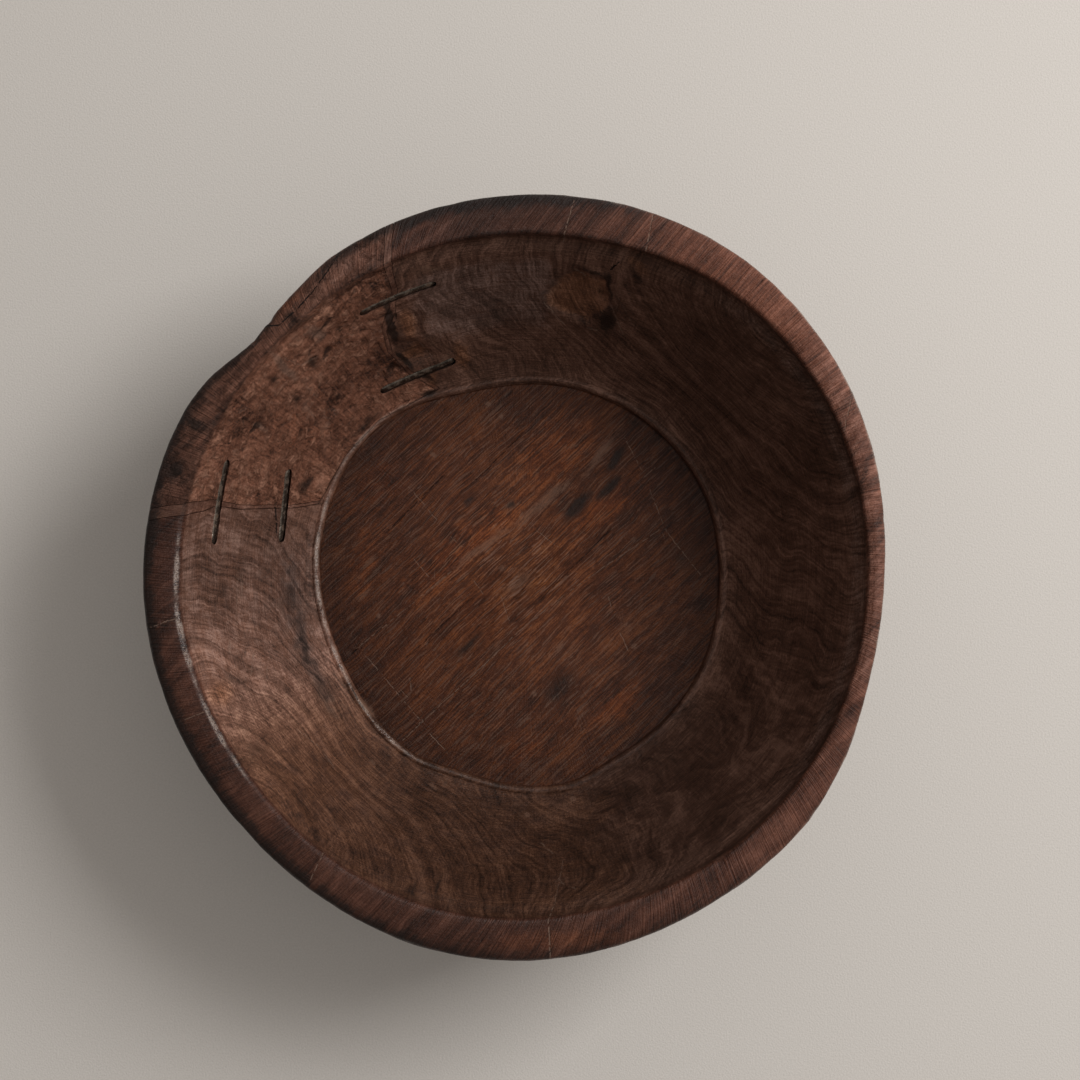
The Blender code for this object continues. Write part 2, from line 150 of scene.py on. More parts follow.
# Azimuth and height of each staple's start, middle and end on the hollow's wall.
STAPLES = {
    "left_joint_upper_staple": ((158.7, 0.1220), (165.9, 0.1165), (174.0, 0.1150)),
    "left_joint_lower_staple": ((155.0, 0.0620), (162.5, 0.0545), (170.9, 0.0515)),
    "top_joint_upper_staple": ((106.6, 0.1142), (114.1, 0.1142), (121.6, 0.1160)),
    "top_joint_lower_staple": ((107.4, 0.0450), (117.0, 0.0425), (126.8, 0.0430)),
}

# ---------------------------------------------------------------- how finely the pieces are meshed
FLOOR_RINGS = 40
WALL_RINGS = 76
RIM_RINGS = 8
SIDE_RINGS = 42
FOOT_RINGS = 5
ROUNDING_RINGS = 5
WALL_CROWDING = 1.12        # power of the share: above 1, rings stand closer at a run's start
SIDE_CROWDING = 1.15
BODY_TURNS = 552
PIECE_TURNS = 230
PIECE_SECTOR = (103.0, 177.0)
SHARP_TURN = 40.0           # edges that turn more than this stay sharp

# ---------------------------------------------------------------- the wood's figure
PITH_AZIMUTH = 44.0         # the tree's axis lies level above the bowl, in this direction
PITH_HEIGHT = 0.158

# ---------------------------------------------------------------- camera and light
CAMERA_PLACE = (0.0201, -0.0483, 1.3650)
CAMERA_TILT = 3.13          # degrees from straight down, towards +Y
CAMERA_SWING = 0.46         # degrees from straight down, towards -X
CAMERA_LENS = 75.0
KEY_AZIMUTH = 27.0
KEY_ELEVATION = 49.0
KEY_DISTANCE = 2.2
KEY_SIZE = 0.9
KEY_POWER = 27.0
FILL_STRENGTH = 0.34
FILL_LEAN = 0.26            # how much more fill comes from the key light's side
FILL_COLOUR = (1.0, 0.96, 0.93)
STAGE_SIZE = 6.0
FAR = 9.0                   # farther than anything on the bowl


# ---------------------------------------------------------------- repeatable noise
def lattice_value(cells, seed):
    """Repeatable random numbers from -1 to 1 for whole-number cells."""
    x, y, z = (cells[..., axis].astype(np.int64) for axis in range(3))
    mixed = x * 73856093 ^ y * 19349663 ^ z * 83492791 ^ (seed + 1) * 26544357
    mixed = (mixed ^ (mixed >> 13)) * 1274126177
    mixed = mixed ^ (mixed >> 16)
    return (mixed & 0xFFFFFF) / 0x7FFFFF - 1.0


def noise(points, size, seed):
    """Smooth noise, about -1 to 1, with features of a size."""
    scaled = points / size
    base = np.floor(scaled)
    inside = scaled - base
    fade = inside ** 3 * (inside * (inside * 6.0 - 15.0) + 10.0)
    total = np.zeros(points.shape[:-1])
    for corner in itertools.product((0, 1), repeat=3):
        offset = inside - corner
        slope = sum(lattice_value(base + corner, seed + axis) * offset[..., axis] for axis in range(3))
        total += slope * np.prod(np.where(corner, fade, 1.0 - fade), axis=-1)
    return 1.4 * total


def layered(points, size, seed, layers=3):
    """Noise with finer and weaker noise on top of it."""
    return sum(noise(points, size * 0.5 ** n, seed + 7 * n) * 0.5 ** n for n in range(layers))


def strayed(points, amount, size, seed):
    """The points moved a little in plan by noise."""
    moved = points.copy()
    for axis in (0, 1):
        moved[:, axis] += amount * layered(points, size, seed + 6 * axis, 2)
    return moved


def facets(points, size, seed):
    """Scooped tool marks: 0 in the middle of each mark, rising to the ridges between them."""
    scaled = points / np.asarray(size)
    base = np.floor(scaled)
    nearest = np.ones(points.shape[:-1])
    for corner in itertools.product((-1, 0, 1), repeat=3):
        cell = base + corner
        centre = cell + 0.5 + 0.42 * np.stack([lattice_value(cell, seed + axis) for axis in range(3)], -1)
        nearest = np.minimum(nearest, ((scaled - centre) ** 2).sum(-1))
    return nearest


def rise(value, low, high):
    """0 below low and 1 above high, smooth between."""
    share = np.clip((value - low) / (high - low), 0.0, 1.0)
    return share * share * (3.0 - 2.0 * share)


def fall(value, low, high):
    """1 below low and 0 above high, smooth between."""
    return 1.0 - rise(value, low, high)


def hump(value, middle, spread):
    return np.exp(-(((value - middle) / spread) ** 2))


# ---------------------------------------------------------------- the bowl's surfaces as formulas
def around(stations, azimuth):
    """A value given at stations round the bowl, smooth through them, at azimuths in degrees."""
    stations = np.array(stations, float)
    azimuth = np.mod(azimuth, 360.0)
    here = np.searchsorted(stations[:, 0], azimuth, side="right") - 1
    turns, place = np.divmod(np.stack([here + step for step in (-1, 0, 1, 2)]), len(stations))
    a0, a1, a2, a3 = stations[place, 0] + 360.0 * turns
    v0, v1, v2, v3 = stations[place, 1]
    span = a2 - a1
    share = (azimuth - a1) / span
    leaving, arriving = (v2 - v0) / (a2 - a0) * span, (v3 - v1) / (a3 - a1) * span
    return (
        v1 + (v2 - v1) * (3.0 * share ** 2 - 2.0 * share ** 3)
        + leaving * (share ** 3 - 2.0 * share ** 2 + share) + arriving * (share ** 3 - share ** 2)
    )


def hollow_radius(azimuth, height):
    depth = np.clip((height - FLOOR_LEVEL) / (HEIGHT - FLOOR_LEVEL), 0.0, 1.0)
    floor_edge = around(FLOOR_EDGE, azimuth)
    return floor_edge + (around(RIM_INSIDE, azimuth) - floor_edge) * depth ** HOLLOW_FULLNESS


def outside_radius(azimuth, height):
    below_rim = 1.0 - np.clip(height / HEIGHT, 0.0, 1.0)
    return FOOT_RADIUS + (around(RIM_OUTSIDE, azimuth) - FOOT_RADIUS) * (1.0 - below_rim ** SIDE_FULLNESS)


def worn_hollow_radius(azimuth, height):
    """The hollow with the worn undercut below its rim."""
    undercut = around(UNDERCUT, azimuth) * hump(height, UNDERCUT_HEIGHT, UNDERCUT_SPREAD)
    return hollow_radius(azimuth, height) + undercut


# ---------------------------------------------------------------- the block as a grid of rings
def rounding(centre_radius, centre_height, radius, start, end):
    """Rings round an edge of the rim, by angles from straight out."""
    angles = np.radians(np.linspace(start, end, ROUNDING_RINGS))
    return [(centre_radius + radius * math.cos(a), centre_height + radius * math.sin(a), 2) for a in angles]


def block_rings(azimuth):
    """Radius and height along each ring, and its zone: 0 floor, 1 wall, 2 rim, 3 side, 4 foot."""
    floor_edge = around(FLOOR_EDGE, azimuth)
    rings = []
    for share in np.linspace(0.0, 1.0, FLOOR_RINGS + 1)[1:]:
        level = FLOOR_LEVEL - FLOOR_SINK - FLOOR_DISH * (1.0 - share ** 2)
        rings.append((floor_edge * share, level, 0))
    rings += [(floor_edge + out, level, 1) for out, level in BEAD]
    inner_rounding = around(INNER_ROUNDING, azimuth)
    inner_height = HEIGHT - inner_rounding
    for share in np.linspace(0.0, 1.0, WALL_RINGS)[:-1]:
        height = WALL_START + (inner_height - WALL_START) * share ** WALL_CROWDING
        rings.append((worn_hollow_radius(azimuth, height), height, 1))
    inner_centre = worn_hollow_radius(azimuth, inner_height) + inner_rounding
    outer_height = HEIGHT - OUTER_ROUNDING
    outer_centre = outside_radius(azimuth, outer_height) - OUTER_ROUNDING
    rings += rounding(inner_centre, inner_height, inner_rounding, 180.0, 90.0)
    for share in np.linspace(0.0, 1.0, RIM_RINGS + 2)[1:-1]:
        level = HEIGHT + RIM_CROWN * 4.0 * share * (1.0 - share)
        rings.append((inner_centre + (outer_centre - inner_centre) * share, level, 2))
    rings += rounding(outer_centre, outer_height, OUTER_ROUNDING, 90.0, 0.0)
    for share in np.linspace(1.0, 0.0, SIDE_RINGS + 1)[1:]:
        height = FOOT_EDGE + (outer_height - FOOT_EDGE) * share ** SIDE_CROWDING
        rings.append((outside_radius(azimuth, height), height, 3))
    for share in np.linspace(1.0, 0.0, FOOT_RINGS + 1)[:-1]:
        rings.append(((FOOT_RADIUS - FOOT_EDGE) * share, 0.0, 4))
    radius, height, zones = zip(*rings)
    full = np.zeros_like(azimuth)
    radius, height = (np.stack([full + value for value in values]) for values in (radius, height))
    return radius, height, np.array(zones)


def grid_normals(points):
    """Outward unit normals of a grid of rings that closes on itself."""
    normal = np.cross(np.gradient(points, axis=0), np.roll(points, -1, axis=1) - np.roll(points, 1, axis=1))
    return normal / np.maximum(np.linalg.norm(normal, axis=-1, keepdims=True), 1e-12)


def zone_weights(zones):
    """How much each ring belongs to each zone, softened across the borders."""
    weights = np.stack([(zones == zone).astype(float) for zone in range(5)])
    padded = np.pad(weights, ((0, 0), (1, 1)), mode="edge")
    return 0.25 * padded[:, :-2] + 0.5 * padded[:, 1:-1] + 0.25 * padded[:, 2:]


def closed_mesh(name, rings, start, end):
    """A mesh from rings of points, closed by a point at each end."""
    count, turns = rings.shape[:2]
    turn = np.arange(turns)
    onward = (turn + 1) % turns
    ring = np.arange(count - 1)[:, None] * turns
    last = (count - 1) * turns
    quads = np.stack([ring + turn, ring + turns + turn, ring + turns + onward, ring + onward], -1)
    first_fan = np.stack([np.full(turns, count * turns), turn, onward], -1)
    last_fan = np.stack([last + turn, np.full(turns, count * turns + 1), last + onward], -1)
    mesh = bpy.data.meshes.new(name)
    places = np.concatenate([rings.reshape(-1, 3), [start, end]])
    faces = quads.reshape(-1, 4).tolist() + first_fan.tolist() + last_fan.tolist()
    mesh.from_pydata(places.tolist(), [], faces)
    mesh.update()
    return mesh


# ---------------------------------------------------------------- carving, wear and damage
def joint_distance(points, joint):
    """Distance in plan from a joint's line."""
    nearest = np.full(points.shape[:-1], FAR)
    for (x0, y0, _), (x1, y1, _) in zip(joint, joint[1:]):
        run = np.array((x1 - x0, y1 - y0))
        from_start = points[..., :2] - (x0, y0)
        share = np.clip(from_start @ run / (run @ run), 0.0, 1.0)
        nearest = np.minimum(nearest, np.linalg.norm(from_start - share[..., None] * run, axis=-1))
    return nearest


def inside_of(points, corners):
    """How far in plan points lie inside a shape with no hollow corner, given anticlockwise."""
    places = np.array(corners)
    runs = np.roll(places, -1, axis=0) - places
    deepest = np.full(points.shape[:-1], FAR)
    for (x, y), (run_x, run_y) in zip(places, runs / np.linalg.norm(runs, axis=1, keepdims=True)):
        deepest = np.minimum(deepest, run_x * (points[..., 1] - y) - run_y * (points[..., 0] - x))
    return deepest


def surface_relief(points, weights):
    """Height of the carved, worn surface over the smooth one, without local damage."""
    floor, wall, rim, side, foot = weights[..., None]
    marks = facets(points, (0.011, 0.011, 0.036), 31)
    adze = facets(points, (0.024, 0.024, 0.036), 47)
    return (
        floor * (0.00020 * layered(points, 0.030, 1) + 0.00012 * layered(points, 0.008, 4, 2))
        + wall * (0.00090 * layered(points, 0.050, 11) + 0.00045 * (marks - 0.3))
        + wall * 0.00012 * layered(points, 0.006, 15, 2)
        + rim * (0.00030 * layered(points, 0.018, 21) + 0.00012 * layered(points, 0.005, 24, 2))
        + side * (0.00110 * layered(points, 0.060, 41) + 0.00180 * (adze - 0.3))
        + side * 0.00015 * layered(points, 0.006, 45, 2)
        - foot * 0.00030 * (1.0 + noise(points, 0.030, 51))
    )


def chipped(points):
    """How deep the rim's edges are chipped."""
    deepest = np.zeros(points.shape[:-1])
    for x, y, size, depth in CHIPS:
        distance = np.linalg.norm(points - (x, y, HEIGHT), axis=-1) * (1.0 + 0.3 * noise(points, 0.003, 67))
        deepest = np.maximum(deepest, depth * fall(distance, 0.3 * size, 1.6 * size))
    return deepest


def staple_distance(points):
    """Distance from the nearest bridge."""
    nearest = np.full(points.shape[:-1], FAR)
    for ends, share in itertools.product(STAPLES.values(), np.linspace(-0.04, 1.04, 28)):
        nearest = np.minimum(nearest, ((points - bridge_place(ends, share)[0]) ** 2).sum(-1))
    return np.sqrt(nearest)


def pressed_round_staples(points, relief, wall):
    """The surface runs level to a staple, with a low bruised ridge along its groove."""
    distance = staple_distance(points)
    ridge = hump(distance, 0.0038, 0.0014) * (0.6 + 0.6 * noise(points, 0.005, 65))
    return relief * (1.0 - wall * fall(distance, 0.003, 0.010)) + wall * 0.00045 * ridge


def body_relief(points, weights):
    wall, height = weights[1][:, None], points[..., 2]
    relief = surface_relief(points, weights)
    recess = fall(joint_distance(points, TOP_JOINT), 0.012, 0.019) * rise(height, 0.048, 0.056)
    recess = recess * fall(height, 0.102, 0.108) * (0.8 + 0.4 * noise(points, 0.008, 61))
    knot = inside_of(points, KNOT)
    scratch = hump(height, 0.0322, 0.0016) * rise(noise(points, 0.05, 63), -0.5, 0.3)
    relief -= wall * (0.0030 * recess + 0.0012 * rise(knot, -0.0006, 0.0008) + 0.0004 * scratch)
    relief += wall * 0.0007 * hump(knot, -0.0020, 0.0014)
    return pressed_round_staples(points, relief - chipped(points), wall)


def torn_bark(points):
    """The wall piece's torn, lumpy surface: 1 on its ridges and below 0 in its hollows."""
    moved = points + 0.004 * layered(points, 0.010, 69, 2)[..., None]
    return 1.0 - 2.0 * np.abs(layered(moved, 0.011, 71, 4))


def torn_share(points):
    """Where the wall piece is torn most."""
    return 0.45 + 0.55 * rise(noise(points, 0.045, 79), -0.4, 0.4)


def piece_relief(points, weights):
    wall = weights[1][:, None]
    relief = surface_relief(points, weights)
    lumps = 0.0011 * torn_bark(points) + 0.0012 * layered(points, 0.026, 75, 3)
    relief += wall * (0.0004 + torn_share(points) * lumps) - chipped(points)
    return pressed_round_staples(points, relief, wall)


def rim_wander(points, height):
    """The rim isn't level: heights rise and fall round the bowl."""
    return 0.0009 * noise(points * (1.0, 1.0, 0.0), 0.120, 81) * (height / HEIGHT) ** 2


def make_block(name, azimuth, relief):
    """The whole block, with the relief of one piece."""
    radius, height, zones = block_rings(azimuth)
    angle = np.radians(azimuth)
    smooth = np.stack([radius * np.cos(angle), radius * np.sin(angle), height], -1)
    points = smooth + grid_normals(smooth) * relief(smooth, zone_weights(zones))[..., None]
    points[..., 2] += rim_wander(smooth, height)
    middles = (points[ring].mean(0) * (0.0, 0.0, 1.0) for ring in (0, -1))
    return add_object(name, closed_mesh(name, points, *middles))


def piece_azimuths():
    """Close together across the wall piece and far apart elsewhere."""
    start, end = PIECE_SECTOR
    coarse = np.linspace(end, start + 360.0, 40)[1:-1]
    return np.concatenate([np.linspace(start, end, PIECE_TURNS), coarse])


# ---------------------------------------------------------------- the joints
def joint_line(joint, towards_block, offset, width_share):
    """A joint moved sideways towards the block, by an offset and a share of its filler's width."""
    places = [Vector((x, y)) for x, y, _ in joint]
    line = []
    for index, (place, (_, _, width)) in enumerate(zip(places, joint)):
        along = (places[min(index + 1, len(places) - 1)] - places[max(index - 1, 0)]).normalized()
        line.append(place + Vector((-along.y, along.x)) * towards_block * (offset + width_share * width))
    return line


def lower_line(offset):
    places = [Vector(place) for place in LOWER_EDGE]
    return [place - place.normalized() * offset for place in places]


def meeting(first_run, second_run):
    """Where two straight runs in plan cross, when they are carried on."""
    ends = [place.to_3d() for place in (*first_run, *second_run)]
    return intersect_line_line(*ends)[0].to_2d()


def plan_between(left, lower, top):
    left_corner = meeting(left[-2:], lower[:2])
    top_corner = meeting(lower[-2:], top[-2:])
    return [*left[:-1], left_corner, *lower[1:-1], top_corner, *top[-2::-1], Vector(OUTER_CORNER)]


def filler_plan(near_piece, near_block, lower_run):
    corners = meeting(near_piece[-2:], lower_run), meeting(near_block[-2:], lower_run)
    return [*near_piece[:-1], *corners, *near_block[-2::-1]]


def plans():
    """Outlines in plan of the block's opening, the wall piece and the two fillers."""
    left, top = partial(joint_line, LEFT_JOINT, -1.0), partial(joint_line, TOP_JOINT, 1.0)
    lower = lower_line(0.0)
    return (
        plan_between(left(2.0 * GAP, 1.0), lower_line(GAP), top(GAP, 0.5)),
        plan_between(left(0.0, 0.0), lower, top(-GAP, -0.5)),
        filler_plan(left(GAP, 0.0), left(GAP, 1.0), lower[:2]),
        filler_plan(top(0.0, -0.5), top(0.0, 0.5), lower[-2:]),
    )


def wandering(outline):
    """The outline in short runs that stray a little, alike on both sides of a joint."""
    places = []
    for start, end in zip(outline, [*outline[1:], outline[0]]):
        steps = max(1, round((end - start).length / JOINT_STEP))
        places += [start.lerp(end, step / steps).to_3d() for step in range(steps)]
    return strayed(np.array(places), JOINT_WANDER, 0.009, 91)[:, :2]


def prism(name, outline):
    """An upright prism on a plan outline, taller than the bowl."""
    plan = wandering(outline)
    turn = np.roll(plan, -1, axis=0)
    if (plan[:, 0] * turn[:, 1] - plan[:, 1] * turn[:, 0]).sum() < 0.0:
        plan = plan[::-1]
    count = len(plan)
    co = [(x, y, z) for z in (-PRISM_OVERSHOOT, HEIGHT + PRISM_OVERSHOOT) for x, y in plan]
    faces = [tuple(range(count - 1, -1, -1)), tuple(range(count, 2 * count))]
    for index in range(count):
        after = (index + 1) % count
        faces.append((index, after, after + count, index + count))
    mesh = bpy.data.meshes.new(name)
    mesh.from_pydata(co, [], faces)
    return add_object(name, mesh)


# ---------------------------------------------------------------- the staples
def direction_at(azimuth, elevation=0.0):
    azimuth, elevation = math.radians(azimuth), math.radians(elevation)
    level = math.cos(elevation)
    return Vector((math.cos(azimuth) * level, math.sin(azimuth) * level, math.sin(elevation)))


def azimuth_of(point):
    return math.degrees(math.atan2(point.y, point.x))


def surface_point(radius_at, azimuth, height):
    """A point on the hollow or the outside, and the unit normal that leads outward and down."""
    step = 0.0005
    slope = (radius_at(azimuth, height + step) - radius_at(azimuth, height - step)) / (2.0 * step)
    outward = direction_at(azimuth)
    point = outward * float(radius_at(azimuth, height)) + Vector((0.0, 0.0, height))
    return point, (outward - Vector((0.0, 0.0, float(slope)))).normalized()


def bridge_place(ends, share):
    """A point on the hollow along a staple's bridge, and the normal there."""
    (azimuth, height), (_, middle_height), (last_azimuth, last_height) = ends
    sag = middle_height - 0.5 * (height + last_height)
    height = height + (last_height - height) * share + sag * 4.0 * share * (1.0 - share)
    return surface_point(hollow_radius, azimuth + (last_azimuth - azimuth) * share, height)


def leg_length(start, direction):
    """Distance along a leg from the hollow's surface to the outside, by halving."""
    low, high = 0.0, LEG_LIMIT
    for _ in range(24):
        middle = 0.5 * (low + high)
        point = start + direction * middle
        if math.hypot(point.x, point.y) < outside_radius(azimuth_of(point), point.z):
            low = middle
        else:
            high = middle
    return low


def leg_points(end, other_end):
    """A leg from the bridge outwards: its corner, where it bends over, and its bent-over tip."""
    surface, direction = surface_point(hollow_radius, *end)
    length = leg_length(surface, direction)
    turn = surface + direction * (length + CLINCH_STANDOFF)
    sweep = math.copysign(math.degrees(CLINCH_LENGTH / math.hypot(turn.x, turn.y)), other_end[0] - end[0])
    exit_height = (surface + direction * length).z
    tip, outward = surface_point(outside_radius, azimuth_of(turn) + sweep, exit_height)
    return surface + direction * BRIDGE_DEPTH, turn, tip + outward * CLINCH_STANDOFF


def rounded(points):
    """A path with its sharp corners bent to the bar's bend radius."""
    path = [points[0]]
    for before, corner, after in zip(points, points[1:], points[2:]):
        inward, onward = (corner - before).normalized(), (after - corner).normalized()
        turn = inward.angle(onward)
        if turn < math.radians(30.0):
            path.append(corner)
            continue
        cut_back = BEND_RADIUS * math.tan(0.5 * turn)
        start, end = corner - inward * cut_back, corner + onward * cut_back
        shares = np.linspace(0.0, 1.0, 6)
        path += [start.lerp(corner, share).lerp(corner.lerp(end, share), share) for share in shares]
    return [*path, points[-1]]


def evenly(path, step):
    """The path as points a step apart."""
    points = np.array([tuple(place) for place in path])
    run = np.concatenate([[0.0], np.cumsum(np.linalg.norm(np.diff(points, axis=0), axis=1))])
    places = np.linspace(0.0, run[-1], max(2, round(run[-1] / step)))
    return np.stack([np.interp(places, run, points[:, axis]) for axis in range(3)], -1)


def carried_frames(along, facing):
    """Directions square to a path, carried both ways from its middle, where they start from facing."""
    middle = len(along) // 2
    sides = np.zeros_like(along)
    for order in (range(middle, len(along)), range(middle, -1, -1)):
        side = np.array(facing)
        for index in order:
            side = side - along[index] * (side @ along[index])
            side = side / np.linalg.norm(side)
            sides[index] = side
    return sides, np.cross(along, sides)


def swept_bar(name, path, radius_at, facing):
    """A closed flattened bar along a path. radius_at gives radii from shares along and angles round."""
    along = np.gradient(path, axis=0)
    along /= np.linalg.norm(along, axis=1, keepdims=True)
    sides, ups = carried_frames(along, facing)
    angle = np.linspace(0.0, 2.0 * math.pi, BAR_SIDES, endpoint=False)[::-1]
    radius = radius_at(np.linspace(0.0, 1.0, len(path))[:, None], angle[None, :])
    rings = (
        path[:, None] + sides[:, None] * (radius * np.cos(angle))[..., None]
        + ups[:, None] * (BAR_BREADTH * radius * np.sin(angle))[..., None]
    )
    return add_object(name, closed_mesh(name, rings, path[0], path[-1]))


def dents(share, angle, turns, *settings):
    place = np.stack(np.broadcast_arrays(share * turns, np.cos(angle), np.sin(angle)), -1)
    return layered(place, *settings)


def forged_radius(seed, share, angle):
    """Radii of a hand-forged bar: tapered to its ends, with flats and dents from the hammer."""
    taper = 1.0 - (1.0 - BAR_TAPER) * np.abs(2.0 * share - 1.0) ** 1.5
    tip = np.clip(np.minimum(share, 1.0 - share) / 0.012, 0.0, 1.0) ** 0.5
    flats = 1.0 + 0.06 * np.cos(4.0 * angle + 3.0 * share + seed)
    return 0.5 * BAR_THICKNESS * taper * tip * flats * (1.0 + 0.09 * dents(share, angle, 40.0, 1.2, seed, 3))


def bed_radius(share, angle):
    return (0.5 * BAR_THICKNESS + GROOVE_CLEARANCE) * (1.0 + 0.12 * dents(share, angle, 30.0, 1.5, 7, 2))


def make_staple(name, ends, seed):
    """A staple, and the shape that cuts its groove and leg holes."""
    corner, turn, tip = leg_points(ends[0], ends[-1])
    last_corner, last_turn, last_tip = leg_points(ends[-1], ends[0])
    places = (bridge_place(ends, share) for share in (0.25, 0.5, 0.75))
    bridge = [corner, *(surface + direction * BRIDGE_DEPTH for surface, direction in places), last_corner]
    facing = surface_point(hollow_radius, *ends[1])[1]
    path = evenly(rounded([tip, turn, *bridge, last_turn, last_tip]), BAR_STEP)
    staple = smooth_shade(swept_bar(name, path, partial(forged_radius, seed), facing))
    outer_end = turn + (turn - corner).normalized() * BEND_RADIUS
    last_outer_end = last_turn + (last_turn - last_corner).normalized() * BEND_RADIUS
    groove = evenly(rounded([outer_end, *bridge, last_outer_end]), BED_STEP)
    return staple, swept_bar(name + "_bed", groove, bed_radius, facing)


# ---------------------------------------------------------------- scene helpers
def add_object(name, data):
    made = bpy.data.objects.new(name, data)
    bpy.context.scene.collection.objects.link(made)
    return made


def smooth_shade(piece):
    piece.data.shade_smooth()
    piece.data.set_sharp_from_angle(angle=math.radians(SHARP_TURN))
    return piece


def cut(name, blank, operation, shape, beds):
    """A copy of the blank, cut to its plan and let in for its staples."""
    piece = add_object(name, blank.data.copy())
    for cutter, how in ((shape, operation), *((bed, "DIFFERENCE") for bed in beds)):
        boolean = piece.modifiers.new(cutter.name, "BOOLEAN")
        boolean.operation = how
        boolean.object = cutter
        boolean.solver = "MANIFOLD"
    bpy.context.view_layer.update()
    mesh = bpy.data.meshes.new_from_object(piece.evaluated_get(bpy.context.evaluated_depsgraph_get()))
    piece.modifiers.clear()
    piece.data = mesh
    mesh.name = name
    return smooth_shade(piece)


# ---------------------------------------------------------------- what the materials read from a mesh
SKIN_RADIUS = 0.195
HATCH_LEAN = (
    (0, -5), (45, 0), (75, -25), (97, -40), (125, -20), (165, 0), (190, -10), (235, -15), (262, -27),
    (285, -25), (300, -13), (320, -20), (345, -15),
)

# How light the wood's colour is made on the wall and on the rim, by azimuth: partly the wood's own tone and
# partly painted light and shade, lightest on the wall that faces the key light and on the rim's side towards
# it.
WALL_SHADE = (
    (0, 1.60), (45, 1.34), (75, 1.38), (98, 1.18), (125, 1.75), (165, 1.72), (183, 1.78), (202, 2.75),
    (218, 1.45), (232, 0.96), (248, 0.76), (268, 0.68), (290, 0.78), (310, 0.90), (340, 1.40),
)
RIM_SHADE = (
    (0, 2.00), (40, 2.35), (62, 2.10), (80, 0.95), (100, 0.74), (117, 1.35), (147, 1.20), (175, 0.70),
    (205, 0.85), (240, 0.85), (258, 0.80), (290, 0.95), (315, 1.30), (340, 1.65),
)
OUTER_STAIN = (
    (0, 0.0), (60, 0.10), (78, 0.75), (108, 0.95), (125, 0.5), (150, 0.8), (200, 0.9), (240, 0.8),
    (275, 0.5), (300, 0.45), (330, 0.3),
)
INNER_STAIN = (
    (0, 0.6), (60, 0.6), (85, 0.9), (110, 0.8), (140, 0.7), (190, 0.5), (230, 0.3), (280, 0.4),
    (320, 0.7),
)
# How polished the rim's inner and outer edges and the bead round the floor are, by azimuth: these places are
# made smoother and shinier, and a painted highlight colour is mixed in there, strongest where the edges face
# the key light.
INNER_POLISH_AND_GLINT = (
    (0, 0.1), (90, 0.1), (160, 0.05), (171, 0.1), (178, 1.0), (190, 1.0), (210, 0.95), (219, 0.25),
    (240, 0.15), (300, 0.1),
)
OUTER_POLISH_AND_GLINT = (
    (0, 0.9), (35, 0.7), (70, 0.3), (120, 0.2), (200, 0.1), (300, 0.2), (340, 0.8),
)
BEAD_POLISH_AND_GLINT = (
    (0, 0.05), (60, 0.05), (110, 0.15), (135, 0.5), (150, 0.35), (172, 0.8), (190, 0.9), (222, 1.0),
    (240, 0.4), (262, 0.25), (290, 0.05),
)

# A knot in the wall, in plan.
KNOT = (
    (0.0368, 0.1491), (0.0491, 0.1564), (0.0470, 0.1655), (0.0300, 0.1718), (0.0114, 0.1618),
    (0.0152, 0.1574),
)

# Patches in plan, in whole millimetres: x, y, half length, half width, then the direction of the length in
# degrees, and strength.
DARK_PATCHES = (
    (54, 73, 14, 5, 55, 1.3), (50, 56, 16, 5, 48, 1.2), (32, 46, 18, 7, 46, 1.3),
    (-33, 49, 10, 4, 42, 1.0), (-9, 47, 9, 7, 60, 0.7), (-4, -18, 16, 6, 45, 0.6),
    # (95, 15) at the floor's right edge is painted shadow of the right wall
    (-33, -37, 22, 5, 46, 0.9), (20, -64, 22, 13, 50, 0.9), (95, 15, 12, 20, 80, 0.6),
    (49, 149, 11, 8, 60, 1.3), (49, 166, 4, 2, 92, 1.2), (36, 171, 6, 2, 0.0, 0.9),
    (44, 162, 7, 4, -30, 0.7), (64, 166, 9, 3, -33, 1.0), (58, 163, 7, 2, -60, 0.9),
    # the three patches on this line are painted shadow along the edge of the recess beside the top joint
    (-75, 144, 14, 3, 97, 1.7), (-70, 129, 9, 2, -41, 1.7), (-58, 121, 9, 2, -27, 1.5),
    (-56, 112, 10, 4, 20, 1.0), (-118, 121, 7, 4, 45, 0.9), (-108, 106, 8, 4, 55, 0.9),
    (-128, 101, 8, 5, 30, 0.8), (-138, 107, 7, 4, 60, 0.8), (-94, 94, 18, 4, 40, 1.0),
    (-127, 58, 14, 5, 50, 0.9), (-160, 30, 6, 4, 20, 0.5), (-124, 138, 15, 10, 40, 0.8),
    (-177, 81, 12, 8, 155, 1.1), (-187, 55, 13, 11, 163, 1.1), (-155, 115, 11, 3, 50, 0.8),
    (-170, -11, 16, 3, 80, 0.7), (-150, 0, 17, 5, 68, 0.6), (-158, -43, 12, 3, 62, 0.7),
    (-156, -58, 15, 3, 160, 0.7), (-130, -25, 20, 3, 78, 0.5), (-146, -95, 13, 8, 130, 0.6),
    (-59, -172, 7, 2, 80, 1.0), (-46, -170, 8, 2, 80, 1.0), (-39, -179, 6, 2, 75, 1.0),
    (-3, -133, 8, 12, 100, 0.6), (184, 50, 24, 4, 68, 0.8), (35, -179, 15, 3, 12, 0.7),
)
